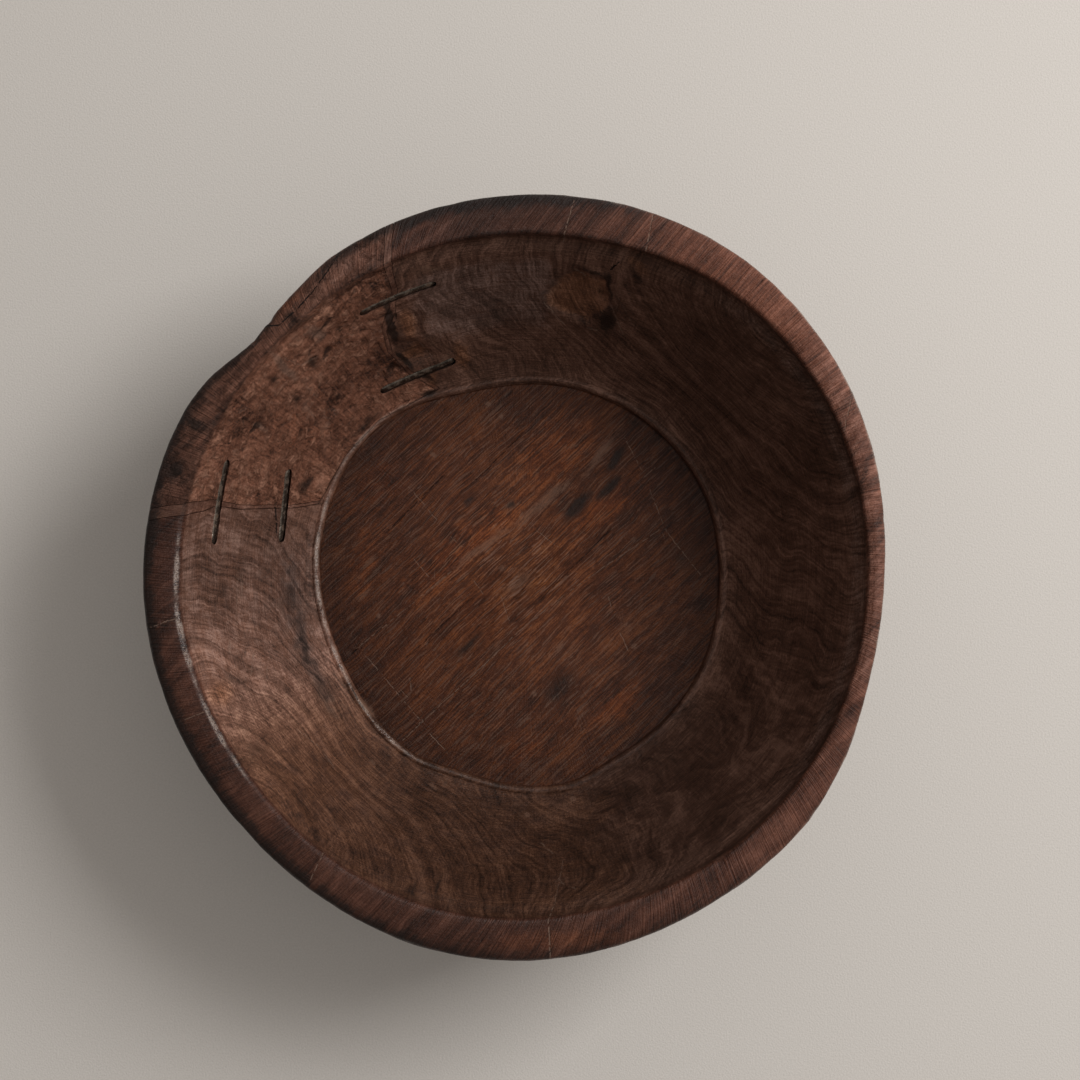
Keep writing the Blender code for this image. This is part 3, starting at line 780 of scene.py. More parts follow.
WARM_PATCHES = (
    (18, 76, 42, 24, 45, 0.9), (45, 42, 34, 12, 45, 1.0), (-21, 32, 48, 12, 45, 0.9),
    (-95, 12, 34, 14, 75, 0.7), (-48, 12, 40, 16, 45, 0.9), (55, -75, 30, 14, 45, 0.9),
    (0, -100, 26, 10, 20, 0.8), (20, -197, 70, 9, 2, 0.9), (-90, 55, 26, 14, 45, 0.7),
    (-66, 146, 9, 6, 100, 1.2), (-64, 133, 10, 6, 30, 1.2), (-36, 132, 10, 6, 110, 1.2),
    (-54, 120, 7, 4, 60, 0.9), (-44, -117, 9, 4, 60, 1.0), (-10, -125, 24, 6, 0.0, 1.0),
    (-165, -65, 12, 8, 110, 0.9), (-50, -170, 24, 8, 160, 0.9), (64, 171, 11, 5, -42, 0.7),
    (-128, 147, 26, 6, 42, 0.6), (-129, 84, 22, 16, 60, 0.2),
)
PALE_PATCHES = (
    (46, 77, 36, 5, 52, 0.9), (15, 50, 36, 6, 41, 1.0), (-25, 21, 40, 4, 36, 0.9),
    (-14, 8, 6, 4, 60, 0.9), (-9, 46, 5, 4, 60, 0.8), (56, -20, 10, 25, 20, 0.4),
    (-132, 116, 11, 4, -52, 1.1), (-114, 134, 7, 5, 20, 1.1), (-148, 84, 6, 3, -30, 1.0),
    (-123, 96, 14, 3, 120, 0.6), (-50, 170, 18, 2, 12, 0.8), (18, 180, 11, 1, 0.0, 0.9),
    (-92, -76, 12, 2, 128, 1.0), (-106, -74, 6, 2, 150, 1.0), (-107, -62, 7, 2, 145, 1.0),
    (-54, -120, 8, 2, 150, 0.9), (-88, -106, 3, 2, 150, 1.2), (-47, 128, 10, 6, 70, 0.8),
    (-3, 0, 18, 9, 45, 0.8),
)
# Small round spots of old lime, in whole millimetres.
SPOTS = (
    (-22, 107), (-14, 100), (-32, 82), (-55, 77), (-86, -20), (6, -66), (65, -38), (2, -137), (29, -128),
)
SPOT_SIZE = 1.6

# Thin marks in plan: start and end in whole millimetres, and tint, above 0 for pale scratches and below 0 for
# dark cracks.
MARKS = (
    (82, 32, 49, 10, 0.7), (49, 10, 25, -7, 0.7), (25, -7, -4, -30, 0.7), (-4, -30, -17, -43, 0.8),
    (-17, -43, -43, -67, 0.9), (-43, -67, -72, -94, 0.8), (-44, 6, -73, -18, 0.8),
    (-73, -18, -104, -43, 0.8), (82, 72, 71, 62, 0.6), (-70, 58, -52, 37, 0.7), (-95, -43, -61, -83, 0.8),
    (-68, -57, -67, -65, 0.9), (-30, 1, -24, -8, 0.8), (-14, -8, -9, -23, 0.7), (75, 55, 84, 32, 0.7),
    (85, 30, 106, 3, 0.7), (60, 86, 70, 67, 0.7), (50, -8, 52, -15, 0.9), (57, -30, 62, -41, 0.9),
    (-56, -90, -45, -102, 1.0), (-44, 27, -37, 21, 0.8), (7, 31, 20, 21, 0.8), (-66, 14, -57, 3, 0.7),
    (30, -56, 8, -80, 0.5), (-82, 30, -48, 64, -0.7), (-30, 60, 0, 90, -0.6), (-70, -45, -32, -10, -0.6),
    (10, -10, 50, 30, -0.5), (29, 204, 23, 183, 1.0), (72, 196, 68, 176, 1.0), (179, 95, 175, 78, 0.9),
    (16, -206, 15, -186, 1.2), (15, -186, 18, -179, 0.9), (-113, -165, -106, -150, 0.8),
    (-184, -80, -169, -74, 1.0), (-200, -29, -186, -24, 1.0), (-140, 135, -132, 135, -1.1),
    (-132, 135, -122, 144, -1.1), (-122, 144, -114, 153, -1.1), (-114, 153, -106, 164, -1.1),
    (-106, 164, -99, 176, -1.0), (189, -32, 193, -39, 0.7), (54, 173, 49, 170, -1.1),
    (29, 172, 36, 169, 1.1), (12, 158, 24, 148, 0.8), (44, 144, 37, 146, 0.6), (50, 156, 58, 142, 0.5),
    (53, 160, 64, 145, 0.4), (-144, 44, -144, 27, -0.9), (-72, 150, -74, 145, -0.8),
    (-62, 151, -63, 145, 0.8), (-62, 140, -54, 132, 0.6), (-132, 120, -124, 118, 0.7),
    (-124, 118, -115, 124, 0.7), (-102, -64, -95, -76, -1.2), (-129, -86, -118, -95, 0.6),
    (-118, -95, -108, -108, 0.6), (-162, 4, -162, -22, 0.5), (-160, 3, -160, -12, 0.5),
    (-164, -35, -163, -43, 0.6), (-153, -43, -153, -56, 0.6), (-146, -50, -146, -59, 0.6),
    (10, -151, 18, -157, 0.6), (19, -169, 30, -172, 0.5), (18, -180, 23, -160, 0.5),
    (-103, -43, -98, -38, -1.2),
)
MARK_REACH = 6.0            # marks are known to the mesh this many millimetres from themselves
MILLIMETRES = 1000.0        # in a metre


class Surface:
    """Points on the bowl's surface: their places, and how much each is floor, rim, side and wall."""

    def __init__(self, mesh):
        points = np.zeros(len(mesh.vertices) * 3, np.float32)
        mesh.vertices.foreach_get("co", points)
        self.points = points = points.reshape(-1, 3).astype(float)
        self.x, self.y, self.height = points.T
        self.azimuth = azimuth = np.degrees(np.arctan2(self.y, self.x))
        self.radius = np.hypot(self.x, self.y)
        self.past_floor = self.radius - around(FLOOR_EDGE, azimuth)
        rim_inside = around(RIM_INSIDE, azimuth)
        self.across_rim = (self.radius - rim_inside) / (around(RIM_OUTSIDE, azimuth) - rim_inside)
        level = self.height - rim_wander(points, self.height)
        inside = worn_hollow_radius(azimuth, level)
        across_wall = (self.radius - inside) / (outside_radius(azimuth, level) - inside)
        self.floor = fall(self.past_floor, 0.0, 0.0006) * (level > 0.5 * FLOOR_LEVEL)
        self.rim = rise(level, HEIGHT - 0.0042, HEIGHT - 0.0012) * (1.0 - self.floor)
        side = rise(across_wall, 0.45, 0.65) * (1.0 - self.rim)
        self.side = np.where(level < 0.5 * FLOOR_LEVEL, 1.0, side) * (1.0 - self.floor)
        self.wall = (1.0 - self.floor) * (1.0 - self.rim) * (1.0 - self.side)

    def facing(self, azimuth, low, high):
        """1 near an azimuth and 0 away from it, by the cosine of the turn between."""
        return rise(np.cos(np.radians(self.azimuth - azimuth)), low, high)


def skin(at):
    """Places on the bowl's skin with no seam: round it in two columns, and up or across it in the third."""
    lean = np.radians(around(HATCH_LEAN, at.azimuth))
    sheared = np.radians(at.azimuth) - at.rim * (at.radius - SKIN_RADIUS) * np.tan(lean) / SKIN_RADIUS
    return SKIN_RADIUS * np.cos(sheared), SKIN_RADIUS * np.sin(sheared), at.height + at.radius


def most_of(points, patches):
    """The strongest patch at each point: slanted ovals in plan that fade out to their edges."""
    most = np.zeros(len(points))
    for x, y, length, width, direction, strength in patches:
        across, up = direction_at(direction).xy
        offset = points[:, :2] * MILLIMETRES - (x, y)
        share = np.hypot(offset @ (across, up) / length, offset @ (-up, across) / width)
        most = np.maximum(most, strength * np.clip(1.0 - share, 0.0, 1.0))
    return most


def lime_spots(at):
    distance = [np.hypot(at.x * MILLIMETRES - x, at.y * MILLIMETRES - y) for x, y in SPOTS]
    return fall(np.min(distance, axis=0), 0.6 * SPOT_SIZE, 1.4 * SPOT_SIZE)


def rim_stain(at):
    """The darkened borders along the rim's top."""
    outer_border = 1.35 * rise(at.across_rim, 0.40, 0.92) * around(OUTER_STAIN, at.azimuth)
    inner_border = 0.8 * fall(at.across_rim, 0.03, 0.16) * around(INNER_STAIN, at.azimuth)
    return at.rim * np.maximum(outer_border, inner_border)


def painted_shade_in_staple_beds(at):
    """1 in the grooves the staples lie in, where painted shade darkens the wood."""
    depth = at.radius - worn_hollow_radius(at.azimuth, at.height)
    return rise(depth, 0.0004, 0.0016) * fall(staple_distance(at.points), 0.006, 0.008)


def scuffed(at):
    """The scuffed band low on the wall's left, next to the bead."""
    band = at.wall * at.facing(194.0, 0.88, 0.985) * hump(at.height, 0.0440, 0.0068)
    return band * (0.8 + 0.7 * layered(at.points, 0.007, 111, 2))


def tone(at, torn):
    """Dark, warm and pale shares of the colour, with painted shade in the hollows of a torn surface and a
    painted highlight on its ridges.
    """
    moved = strayed(at.points, 0.0016, 0.009, 101)
    knot = inside_of(moved, KNOT)
    inside = 1.0 - at.floor - at.rim
    # painted shade under the rim, darkest where the undercut is deepest
    below_rim = hump(at.height, UNDERCUT_HEIGHT + 0.0045, 0.0020) * (1.0 - at.rim)
    dark = [
        # the grooves under the staples get painted shade
        1.3 * most_of(moved, DARK_PATCHES), 1.6 * painted_shade_in_staple_beds(at), 0.65 * scuffed(at), rim_stain(at),
        0.8 * below_rim * rise(around(UNDERCUT, at.azimuth), 0.0006, 0.0022),
        hump(knot, -0.0012, 0.0012) * (0.55 + 0.5 * rise(at.x, 0.028, 0.046)),
    ]
    warm = [
        1.4 * most_of(moved, WARM_PATCHES), rise(knot, -0.001, 0.001),
        0.75 * inside * at.facing(248.0, 0.60, 0.90),
    ]
    pale = [1.7 * most_of(moved, PALE_PATCHES), 1.6 * lime_spots(at)]
    if torn:
        wall = torn_share(at.points) * (inside - at.side)
        bark = torn_bark(at.points)
        # painted shade in the hollows of the torn surface, and a painted highlight on its ridges
        dark.append(0.95 * wall * fall(bark, -0.55, 0.15))
        pale.append(0.90 * wall * rise(bark, 0.70, 1.0))
    return [(1.0 - at.side) * np.max(shares, axis=0) for shares in (dark, warm, pale)]


def wear(at):
    """How light the wood's colour is made, partly its own tone and partly painted light and shade, and its
    grey and polished shares.
    """
    middle = np.hypot(at.x + 0.004, at.y - 0.005)
    weathered = at.facing(98.0, 0.955, 0.985) * rise(at.height, 0.050, 0.075) * fall(at.height, 0.118, 0.132)
    # lightness by azimuth on the wall and the rim: partly the wood's tone, partly painted light and shade
    shade = 1.0 + at.wall * (around(WALL_SHADE, at.azimuth) - 1.0)
    shade = shade + at.rim * (around(RIM_SHADE, at.azimuth) - 1.0)
    # painted light and shade on the floor: a pool of light in its middle, painted shadow of the right wall
    # towards its right, painted shade towards its left, and painted shade within 30 mm of its edge at the
    # foot of the wall
    lit = 0.85 * hump(middle, 0.0, 0.040) - 0.28 * rise(at.x, 0.045, 0.090) - 0.16 * rise(-at.x, 0.060, 0.095)
    shade = shade * (1.0 - 0.30 * at.floor * rise(at.past_floor, -0.030, 0.0)) * (1.0 + at.floor * lit)
    shade = shade * (1.0 - 0.50 * np.clip(scuffed(at), 0.0, 1.0) + 0.10 * at.wall * weathered)
    grey = np.max([
        at.wall * 0.55 * at.facing(190.0, 0.80, 0.97),
        at.wall * 0.95 * weathered,
        # painted sky reflection: a lighter, bluish-grey band on the right wall just under the rim
        at.wall * 0.60 * at.facing(5.0, 0.45, 0.85) * rise(at.height, 0.128, 0.136),
        at.wall * 1.5 * scuffed(at),
        at.rim * 0.80 * at.facing(10.0, 0.75, 0.97),
        at.rim * 0.80 * at.facing(108.0, 0.83, 1.05),
        at.floor * 0.75 * hump(middle, 0.0, 0.034),
    ], axis=0)
    bead = hump(at.past_floor, 0.0022, 0.0012) * (at.height < 0.034) * (1.0 - at.floor)
    inner_edge = hump(at.across_rim, 0.05, 0.055) * around(INNER_POLISH_AND_GLINT, at.azimuth)
    outer_edge = hump(at.across_rim, 1.0, 0.07) * around(OUTER_POLISH_AND_GLINT, at.azimuth)
    edges = rise(at.height, HEIGHT - 0.006, HEIGHT - 0.003) * np.maximum(inner_edge, outer_edge)
    # polish on the bead and the rim's edges: it makes them shinier and also places the painted highlight
    # colour
    polish_and_glint = bead * around(BEAD_POLISH_AND_GLINT, at.azimuth) + edges
    polish_and_glint = polish_and_glint * (1.15 + 1.0 * layered(at.points, 0.011, 113, 2))
    return shade, np.clip(grey, 0.0, 1.0), np.clip(polish_and_glint, 0.0, 1.0)


def marks(at):
    """Distance across the nearest thin mark, place along it (within 1 on the mark), and its tint."""
    nearest = np.full(len(at.points), MARK_REACH)
    offset, along, tint = nearest.copy(), np.full(len(nearest), 3.0), np.zeros(len(nearest))
    for x0, y0, x1, y1, strength in MARKS:
        run = np.array((x1 - x0, y1 - y0))
        half = 0.5 * np.linalg.norm(run)
        run = 0.5 * run / half
        away = at.points[:, :2] * MILLIMETRES - (0.5 * (x0 + x1), 0.5 * (y0 + y1))
        lengthwise, sideways = np.abs(away @ run), away @ np.array((-run[1], run[0]))
        distance = np.hypot(sideways, np.maximum(lengthwise - half, 0.0))
        closer = (distance < nearest) & (at.side < 0.5)
        nearest = np.where(closer, distance, nearest)
        offset = np.where(closer, sideways, offset)
        along = np.where(closer, lengthwise / half, along)
        tint = np.where(closer, strength, tint)
    return offset, along, tint


def store_looks(piece, torn=False):
    """Store what the materials read at each point of a wooden piece."""
    at = Surface(piece.data)
    looks = {
        "zone": (at.floor, at.rim, at.side), "skin": skin(at), "tone": tone(at, torn), "wear": wear(at),
        "mark": marks(at),
    }
    for name, values in looks.items():
        attribute = piece.data.attributes.new(name, "FLOAT_VECTOR", "POINT")
        attribute.data.foreach_set("vector", np.stack(values, -1).astype(np.float32).ravel())


# ---------------------------------------------------------------- building materials from nodes
class Nodes:
    """A node tree, built by short calls that pass sockets on."""

    def __init__(self, tree):
        self.tree = tree

    def plug(self, socket, value):
        if isinstance(value, bpy.types.NodeSocket):
            self.tree.links.new(value, socket)
        else:
            socket.default_value = (*value, 1.0) if socket.type == "RGBA" else value

    def node(self, kind, inputs, output=0, **settings):
        made = self.tree.nodes.new("ShaderNode" + kind)
        for key, value in settings.items():
            setattr(made, key, value)
        for key, value in inputs.items():
            self.plug(made.inputs[key], value)
        return made.outputs[output]

    def math(self, operation, *values, clamp=False):
        return self.node("Math", dict(enumerate(values)), operation=operation, use_clamp=clamp)

    def times(self, *values, clamp=False):
        first, second, *others = values
        product = self.math("MULTIPLY", first, second, clamp=clamp)
        return self.times(product, *others) if others else product

    def total(self, start, *weighted):
        """A start value, with values added that each have a weight."""
        for value, weight in weighted:
            start = self.math("MULTIPLY_ADD", value, weight, start)
        return start

    def vector(self, operation, *values, output=0):
        return self.node("VectorMath", dict(enumerate(values)), output, operation=operation)

    def split(self, vector):
        return self.node("SeparateXYZ", {0: vector}).node.outputs

    def attribute(self, name):
        return self.node("Attribute", {}, "Vector", attribute_name=name)

    def noise(self, place, scale, detail=3.0, roughness=0.5, distortion=0.0, output="Fac"):
        """Noise with a scale, or with one for each axis."""
        scaled = self.vector("MULTIPLY", place, np.broadcast_to(scale, 3).tolist())
        settings = {"Vector": scaled, "Detail": detail, "Roughness": roughness, "Distortion": distortion}
        return self.node("TexNoise", {**settings, "Scale": 1.0}, output)

    def noise_along(self, value, scale, detail, roughness):
        settings = {"W": value, "Scale": scale, "Detail": detail, "Roughness": roughness}
        return self.node("TexNoise", settings, "Fac", noise_dimensions="1D")

    def step(self, value, low, high):
        """0 at low and 1 at high, smooth between."""
        settings = {"Value": value, "From Min": low, "From Max": high}
        return self.node("MapRange", settings, "Result", interpolation_type="SMOOTHSTEP")

    def ramp(self, value, *stops):
        """A colour from stops, each with its place and its red, green and blue."""
        ramp = self.node("ValToRGB", {0: value}).node
        while len(ramp.color_ramp.elements) < len(stops):
            ramp.color_ramp.elements.new(0.5)
        for element, (place, *colour) in zip(ramp.color_ramp.elements, stops):
            element.position = place
            element.color = (*colour, 1.0)
        return ramp.outputs[0]

    def mix(self, factor, first, second, blend="MIX"):
        """A colour between two others."""
        return self.node("Mix", {0: factor, 6: first, 7: second}, 2, data_type="RGBA", blend_type=blend)


class Shader(Nodes):
    """A material's nodes."""

    def __init__(self, name):
        self.material = bpy.data.materials.new(name)
        self.material.use_nodes = True
        super().__init__(self.material.node_tree)
        self.place = self.node("TexCoord", {}, "Object")

    def finish(self, colour, roughness, height, depth, **others):
        bump = self.node("Bump", {"Height": height, "Distance": depth, "Strength": 1.0}, "Normal")
        settings = {"Base Color": colour, "Roughness": roughness, "Normal": bump, **others}
        for key, value in settings.items():
            self.plug(self.tree.nodes["Principled BSDF"].inputs[key], value)
        return self.material


# ---------------------------------------------------------------- the wood
def figure(shader):
    """The tree's figure: growth bands and lines, fibres along the tree, and fibres round its rings."""
    turned = shader.node("Mapping", {
        "Vector": shader.place, "Location": (0.0, 0.0, -PITH_HEIGHT),
        "Rotation": (0.0, 0.0, math.radians(-PITH_AZIMUTH)),
    })
    curls = [
        shader.vector("SUBTRACT", shader.noise(shader.place, scale, 2.0, output="Color"), (0.5,) * 3)
        for scale in (14.0, 110.0)
    ]

    def bent(*amounts):
        place = turned
        for curl, amount in zip(curls, amounts):
            place = shader.vector("MULTIPLY_ADD", curl, (amount,) * 3, place)
        return place

    straight = bent(0.008, 0.0015)
    along, across, up = shader.split(bent(0.024, 0.0022))
    ring = shader.math("SQRT", shader.total(shader.times(across, across), (up, up)))
    turn = shader.math("ARCTAN2", across, shader.times(up, -1.0))
    rolled = shader.node("CombineXYZ", {0: along, 1: turn, 2: ring})
    return {
        "bands": shader.noise_along(ring, 150.0, 3.0, 0.6),
        "lines": shader.noise_along(ring, 620.0, 2.0, 0.6),
        "stripe": shader.noise(straight, (5.0, 105.0, 105.0), 4.0, 0.6),
        "fibre": shader.noise(straight, (48.0, 1000.0, 1000.0), 2.0, 0.6),
        "pores": shader.noise(straight, (60.0, 1300.0, 1300.0), 0.0),
        "rolled": shader.noise(rolled, (45.0, 7.0, 1050.0), 2.0, 0.6),
    }


def surface_texture(shader, curl):
    """Texture from tools, wear and dirt: clouds, speckle, strokes up and round the bowl, and rim hatching."""
    place, skin = shader.place, shader.attribute("skin")
    curled = shader.noise(place, 135.0, 8.0, 0.68, curl)
    from_crease = shader.math("ABSOLUTE", shader.math("SUBTRACT", curled, 0.5))
    return {
        "curl": curled,
        "crease": shader.times(from_crease, 9.0, clamp=True),
        "cloud": shader.noise(place, 26.0, 4.0, 0.62),
        "mottle": shader.noise(place, 120.0, 4.0, 0.65),
        "speckle": shader.noise(place, 800.0, 3.0, 0.7),
        "upward": shader.noise(skin, (650.0, 650.0, 38.0), 3.0, 0.6),
        "round": shader.noise(skin, (48.0, 48.0, 1100.0), 3.0, 0.6),
        "hatch": shader.noise(skin, (1350.0, 1350.0, 50.0), 1.0, 0.5),
    }


def thin_marks(shader):
    """Pale and dark shares of the thin marks."""
    offset, along, tint = shader.split(shader.attribute("mark"))
    wobble = shader.total(-0.8, (shader.noise(shader.place, 260.0, 3.0, 0.6), 1.6))
    line = shader.step(shader.math("ABSOLUTE", shader.math("ADD", offset, wobble)), 0.52, 0.16)
    ended = shader.step(shader.total(along, (wobble, 0.3)), 1.08, 0.92)
    broken = shader.step(shader.noise(shader.place, 420.0), 0.40, 0.50)
    line = shader.times(line, ended, broken)
    return shader.times(line, tint, clamp=True), shader.times(line, shader.times(tint, -1.0), clamp=True)


def wood(name, look):
    shader = Shader(name)
    floor, rim, side = shader.split(shader.attribute("zone"))
    dark, warm, pale = shader.split(shader.attribute("tone"))
    shade, grey, polish_and_glint = shader.split(shader.attribute("wear"))
    pale_mark, dark_mark = thin_marks(shader)
    textures = {**figure(shader), **surface_texture(shader, look["curl"])}

    def weighed(weights):
        """Textures added up, 0.5 where all are at their middle."""
        pairs = ((textures[key], weight) for key, weight in weights.items())
        return shader.total(0.5 - 0.5 * sum(weights.values()), *pairs)

    ragged = weighed(dict(speckle=0.55, fibre=0.60, stripe=0.70, mottle=0.9, upward=0.25))
    ragged = shader.math("SUBTRACT", ragged, 0.5)

    def torn(share, low, high, most):
        """A soft share turned into one with a ragged edge."""
        return shader.times(shader.step(shader.total(share, (ragged, 1.6)), low, high), most)

    def zone_colour(zone):
        return shader.ramp(weighed(look["weights"][zone]), *look["colours"][zone])

    colour = zone_colour("wall")
    for share, zone in ((floor, "floor"), (rim, "rim"), (side, "side")):
        colour = shader.mix(share, colour, zone_colour(zone))
    pore = shader.times(shader.step(textures["pores"], 0.58, 0.70), shader.total(0.08, (floor, 0.32)))
    worn = shader.total(0.0, (textures["speckle"], 0.5), (textures["mottle"], 0.5))
    # painted highlight: a pale colour mixed in on polished edges, broken up by noise
    glint = shader.times(shader.step(polish_and_glint, 0.20, 0.70), shader.step(worn, 0.44, 0.54), 0.50)
    pale_share = torn(pale, 0.35, 1.30, 0.55)
    for share, tint, how in (
        (pore, look["pale"], "MIX"),
        # the lightness from wear(): partly the wood's tone, partly painted light and shade
        (1.0, shade, "MULTIPLY"),
        (torn(grey, 0.20, 1.20, 0.90), look["grey"], "MULTIPLY"),
        (torn(warm, 0.10, 1.20, 1.00), look["warm"], "MULTIPLY"),
        (pale_share, look["pale"], "MIX"),
        (torn(dark, 0.30, 1.15, 0.85), look["dark"], "MIX"),
        (shader.times(pale_mark, 0.50), look["mark"], "MIX"),
        (dark_mark, look["dark"], "MIX"),
        (glint, look["painted_highlight"], "MIX"),
    ):
        colour = shader.mix(share, colour, tint, how)

    height = weighed(dict(fibre=0.8, speckle=0.6, upward=0.5, round=0.35, **look["relief"]))
    hatch = shader.times(textures["hatch"], rim)
    height = shader.total(height, (hatch, 0.9), (dark_mark, -1.2), (pale_mark, -0.5))
    weights = (textures["cloud"], 0.18), (pale_share, 0.15), (polish_and_glint, -0.26)
    rough = shader.total(look["roughness"] - 0.08, *weights)
    shine = {"Specular IOR Level": shader.total(0.20, (polish_and_glint, 0.60))}
    return shader.finish(colour, rough, height, look["depth"], **shine)


SIDE_STOPS = ((0.26, 0.016, 0.007, 0.0044), (0.50, 0.05, 0.02, 0.0115), (0.74, 0.105, 0.046, 0.027))
BODY_LOOK = {
    "colours": {
        "wall": ((0.20, 0.022, 0.011, 0.0074), (0.50, 0.074, 0.035, 0.023), (0.80, 0.165, 0.086, 0.06)),
        "floor": (
            (0.18, 0.027, 0.0078, 0.0027), (0.50, 0.067, 0.0184, 0.0059), (0.84, 0.147, 0.0448, 0.0142),
        ),
        "rim": ((0.22, 0.016, 0.0065, 0.0042), (0.50, 0.066, 0.0235, 0.0135), (0.78, 0.14, 0.056, 0.035)),
        "side": SIDE_STOPS,
    },
    "weights": {
        "wall": dict(bands=0.45, lines=0.35, rolled=0.55, cloud=0.60, mottle=0.40, round=0.60, upward=0.30,
                     speckle=0.50),
        "floor": dict(stripe=0.65, fibre=1.25, cloud=0.60, mottle=0.50, speckle=0.55),
        "rim": dict(bands=0.60, hatch=0.55, cloud=0.60, mottle=0.35, speckle=0.35),
        "side": dict(bands=0.55, lines=0.25, rolled=0.50, cloud=0.80, mottle=0.40, upward=0.35, speckle=0.25),
    },
    "relief": {},
    "warm": (1.38, 1.24, 1.02),
    "dark": (0.0100, 0.0065, 0.0052),
    "pale": (0.165, 0.0900, 0.0600),
    "grey": (1.15, 1.40, 1.65),
    "mark": (0.260, 0.1700, 0.1250),
    # the colour of the painted highlight on polished edges
    "painted_highlight": (0.420, 0.3200, 0.2600),
    "roughness": 0.46,
    "depth": 0.00068,
    "curl": 1.0,
}
PIECE_LOOK = {
    **BODY_LOOK,
    "colours": {
        **BODY_LOOK["colours"],
        "wall": ((0.22, 0.019, 0.0078, 0.005), (0.47, 0.115, 0.046, 0.0266), (0.78, 0.24, 0.116, 0.074)),
        "rim": ((0.22, 0.022, 0.01, 0.007), (0.50, 0.102, 0.042, 0.0258), (0.78, 0.18, 0.08, 0.052)),
    },
    "weights": {
        **BODY_LOOK["weights"],
        "wall": dict(curl=1.00, crease=0.14, mottle=0.40, cloud=0.75, rolled=0.50, upward=0.45, speckle=0.60),
    },
    "relief": dict(curl=3.8, crease=0.6, mottle=1.3),
    "warm": (1.50, 1.12, 0.86),
    "pale": (0.240, 0.1450, 0.1050),
    "roughness": 0.56,
    "depth": 0.00115,
    "curl": 0.5,
}
FILLER_STOPS = ((0.25, 0.06, 0.024, 0.015), (0.50, 0.12, 0.053, 0.034), (0.75, 0.20, 0.098, 0.066))
FILLER_LOOK = {
    **BODY_LOOK,
    "colours": {
        **dict.fromkeys(("floor", "rim", "side"), FILLER_STOPS),
        "wall": ((0.25, 0.034, 0.0142, 0.009), (0.50, 0.076, 0.034, 0.022), (0.75, 0.14, 0.068, 0.046)),
    },
    "relief": {"mottle": 1.2},
    "roughness": 0.58,
}


def iron():
    """Old hand-forged iron: nearly black, with rust in its hollows and rubbed edges."""
    shader = Shader("forged_iron")
    rust = shader.noise(shader.place, 260.0, 4.0, 0.65)
    pits = shader.noise(shader.place, 1400.0, 3.0, 0.6)
    stops = (0.38, 0.09, 0.072, 0.058), (0.54, 0.175, 0.142, 0.112), (0.66, 0.095, 0.06, 0.04)
    rough = shader.total(0.16, (rust, 0.22))
    height = shader.total(rust, (pits, 0.6))
    metal = shader.times(shader.step(rust, 0.66, 0.50), 0.85)
    return shader.finish(shader.ramp(rust, *stops), rough, height, 0.00025, Metallic=metal)


# ---------------------------------------------------------------- stage, light and camera
def make_stage():
    mesh = bpy.data.meshes.new("studio_floor")
    corners = [(x * STAGE_SIZE, y * STAGE_SIZE, 0.0) for x, y in ((-1, -1), (1, -1), (1, 1), (-1, 1))]
    mesh.from_pydata(corners, [], [(0, 1, 2, 3)])
    shader = Shader("studio_floor")
    cloth = shader.noise(shader.place, 900.0, 2.0)
    colour = shader.ramp(cloth, (0.3, 0.70, 0.655, 0.60), (0.7, 0.76, 0.71, 0.655))
    mesh.materials.append(shader.finish(colour, 0.9, cloth, 0.0002))
    add_object("studio_floor", mesh)


def make_world():
    """An even fill that is stronger from the key light's side."""
    world = bpy.data.worlds.new("soft_fill")
    world.use_nodes = True
    sky = Nodes(world.node_tree)
    direction = sky.node("TexCoord", {}, "Generated")
    facing = sky.vector("DOT_PRODUCT", direction, direction_at(KEY_AZIMUTH), output="Value")
    background = world.node_tree.nodes["Background"]
    sky.plug(background.inputs["Color"], FILL_COLOUR)
    sky.plug(background.inputs["Strength"], sky.total(FILL_STRENGTH, (facing, FILL_LEAN)))
    bpy.context.scene.world = world


def make_key_light():
    towards = direction_at(KEY_AZIMUTH, KEY_ELEVATION)
    light = bpy.data.lights.new("window", "AREA")
    light.energy = KEY_POWER
    light.size = KEY_SIZE
    key = add_object("window", light)
    key.location = towards * KEY_DISTANCE
    key.rotation_mode = "QUATERNION"
    key.rotation_quaternion = (-towards).to_track_quat("-Z", "Y")


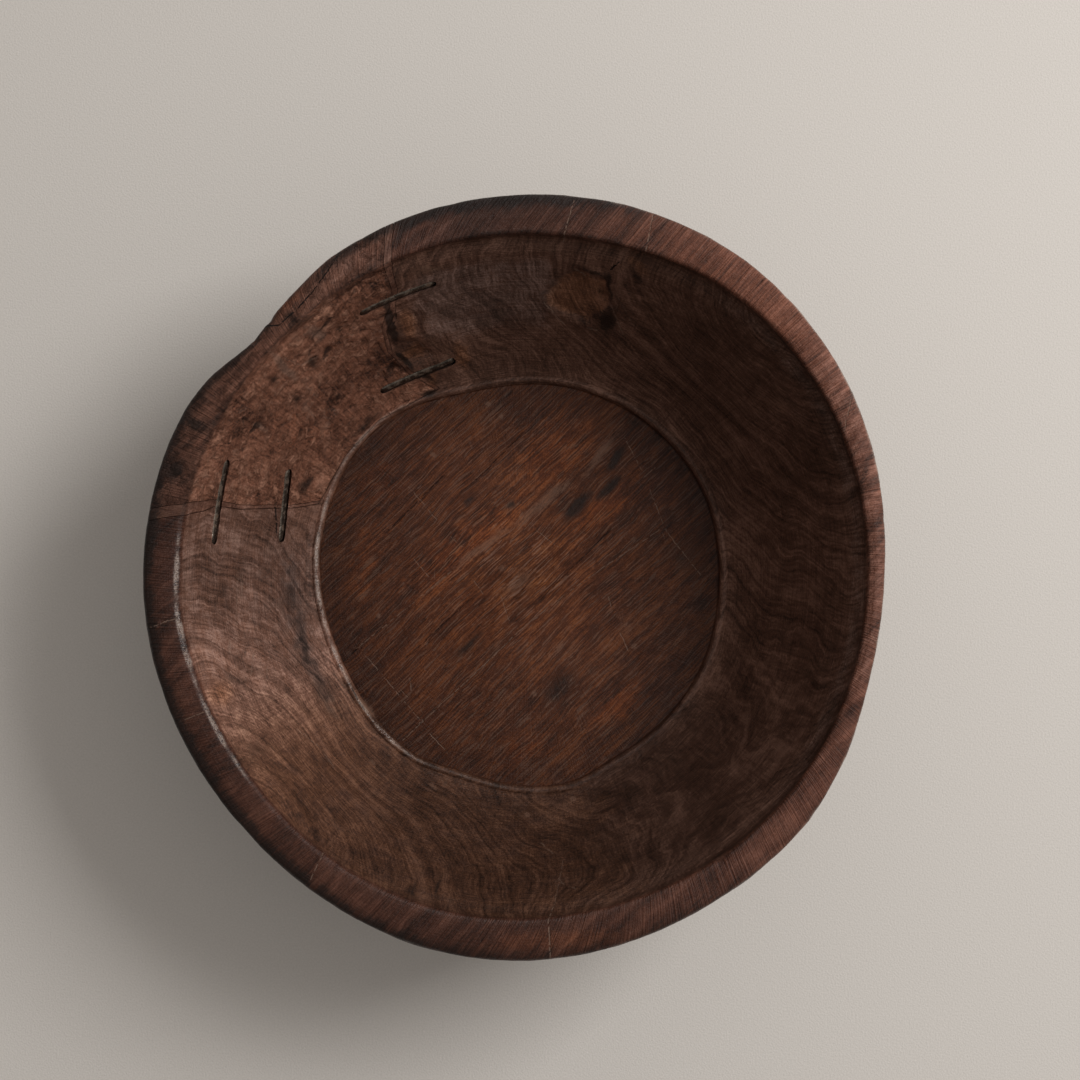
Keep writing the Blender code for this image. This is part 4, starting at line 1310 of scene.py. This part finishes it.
def make_camera():
    swing, tilt = math.radians(CAMERA_SWING), math.radians(CAMERA_TILT)
    back = -Vector((-math.tan(swing), math.sin(tilt), -math.cos(tilt))).normalized()
    right = (Vector((1.0, 0.0, 0.0)) - back * back.x).normalized()
    camera = add_object("camera", bpy.data.cameras.new("camera"))
    camera.data.lens = CAMERA_LENS
    camera.matrix_world = Matrix((right, back.cross(right), back)).transposed().to_4x4()
    camera.location = CAMERA_PLACE
    bpy.context.scene.camera = camera


# ---------------------------------------------------------------- assembly
def settle(piece, material, node):
    """Give a piece its material, and let it stand for its CAD node."""
    piece.data.materials.clear()
    piece.data.materials.append(material)
    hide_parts(node)
    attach(piece, "root")


def build():
    forged, left_beds, top_beds = iron(), [], []
    for seed, (name, ends) in enumerate(STAPLES.items()):
        staple, bed = make_staple("forged_" + name, ends, 201 + 13 * seed)
        settle(staple, forged, name)
        (left_beds if name.startswith("left") else top_beds).append(bed)
    all_beds = left_beds + top_beds

    body_blank = make_block("body_blank", np.arange(BODY_TURNS) * 360.0 / BODY_TURNS, body_relief)
    piece_blank = make_block("piece_blank", piece_azimuths(), piece_relief)
    filler_wood = wood("filler_strip_wood", FILLER_LOOK)
    filler = piece_blank, "INTERSECT", filler_wood
    pieces = (
        ("carved_body", body_blank, "DIFFERENCE", wood("carved_bowl_wood", BODY_LOOK), all_beds,
         "bowl_body", "bowl_wood"),
        ("carved_wall_piece", piece_blank, "INTERSECT", wood("wall_piece_wood", PIECE_LOOK), all_beds,
         "wall_segment", "segment_wood"),
        ("left_filler_strip", *filler, left_beds, "left_joint_filler", "filler_wood"),
        ("top_filler_strip", *filler, top_beds, "top_joint_filler", "filler_wood"),
    )
    shapes = [prism(row[0] + "_plan", plan) for row, plan in zip(pieces, plans())]
    for (name, blank, operation, material, beds, node, slot), shape in zip(pieces, shapes):
        piece = cut(name, blank, operation, shape, beds)
        store_looks(piece, torn=node == "wall_segment")
        settle(piece, material, node)
    for helper in (body_blank, piece_blank, *shapes, *all_beds):
        bpy.data.objects.remove(helper, do_unlink=True)


build()
make_stage()
make_world()
make_key_light()
make_camera()
bpy.context.scene.view_settings.view_transform = "Standard"
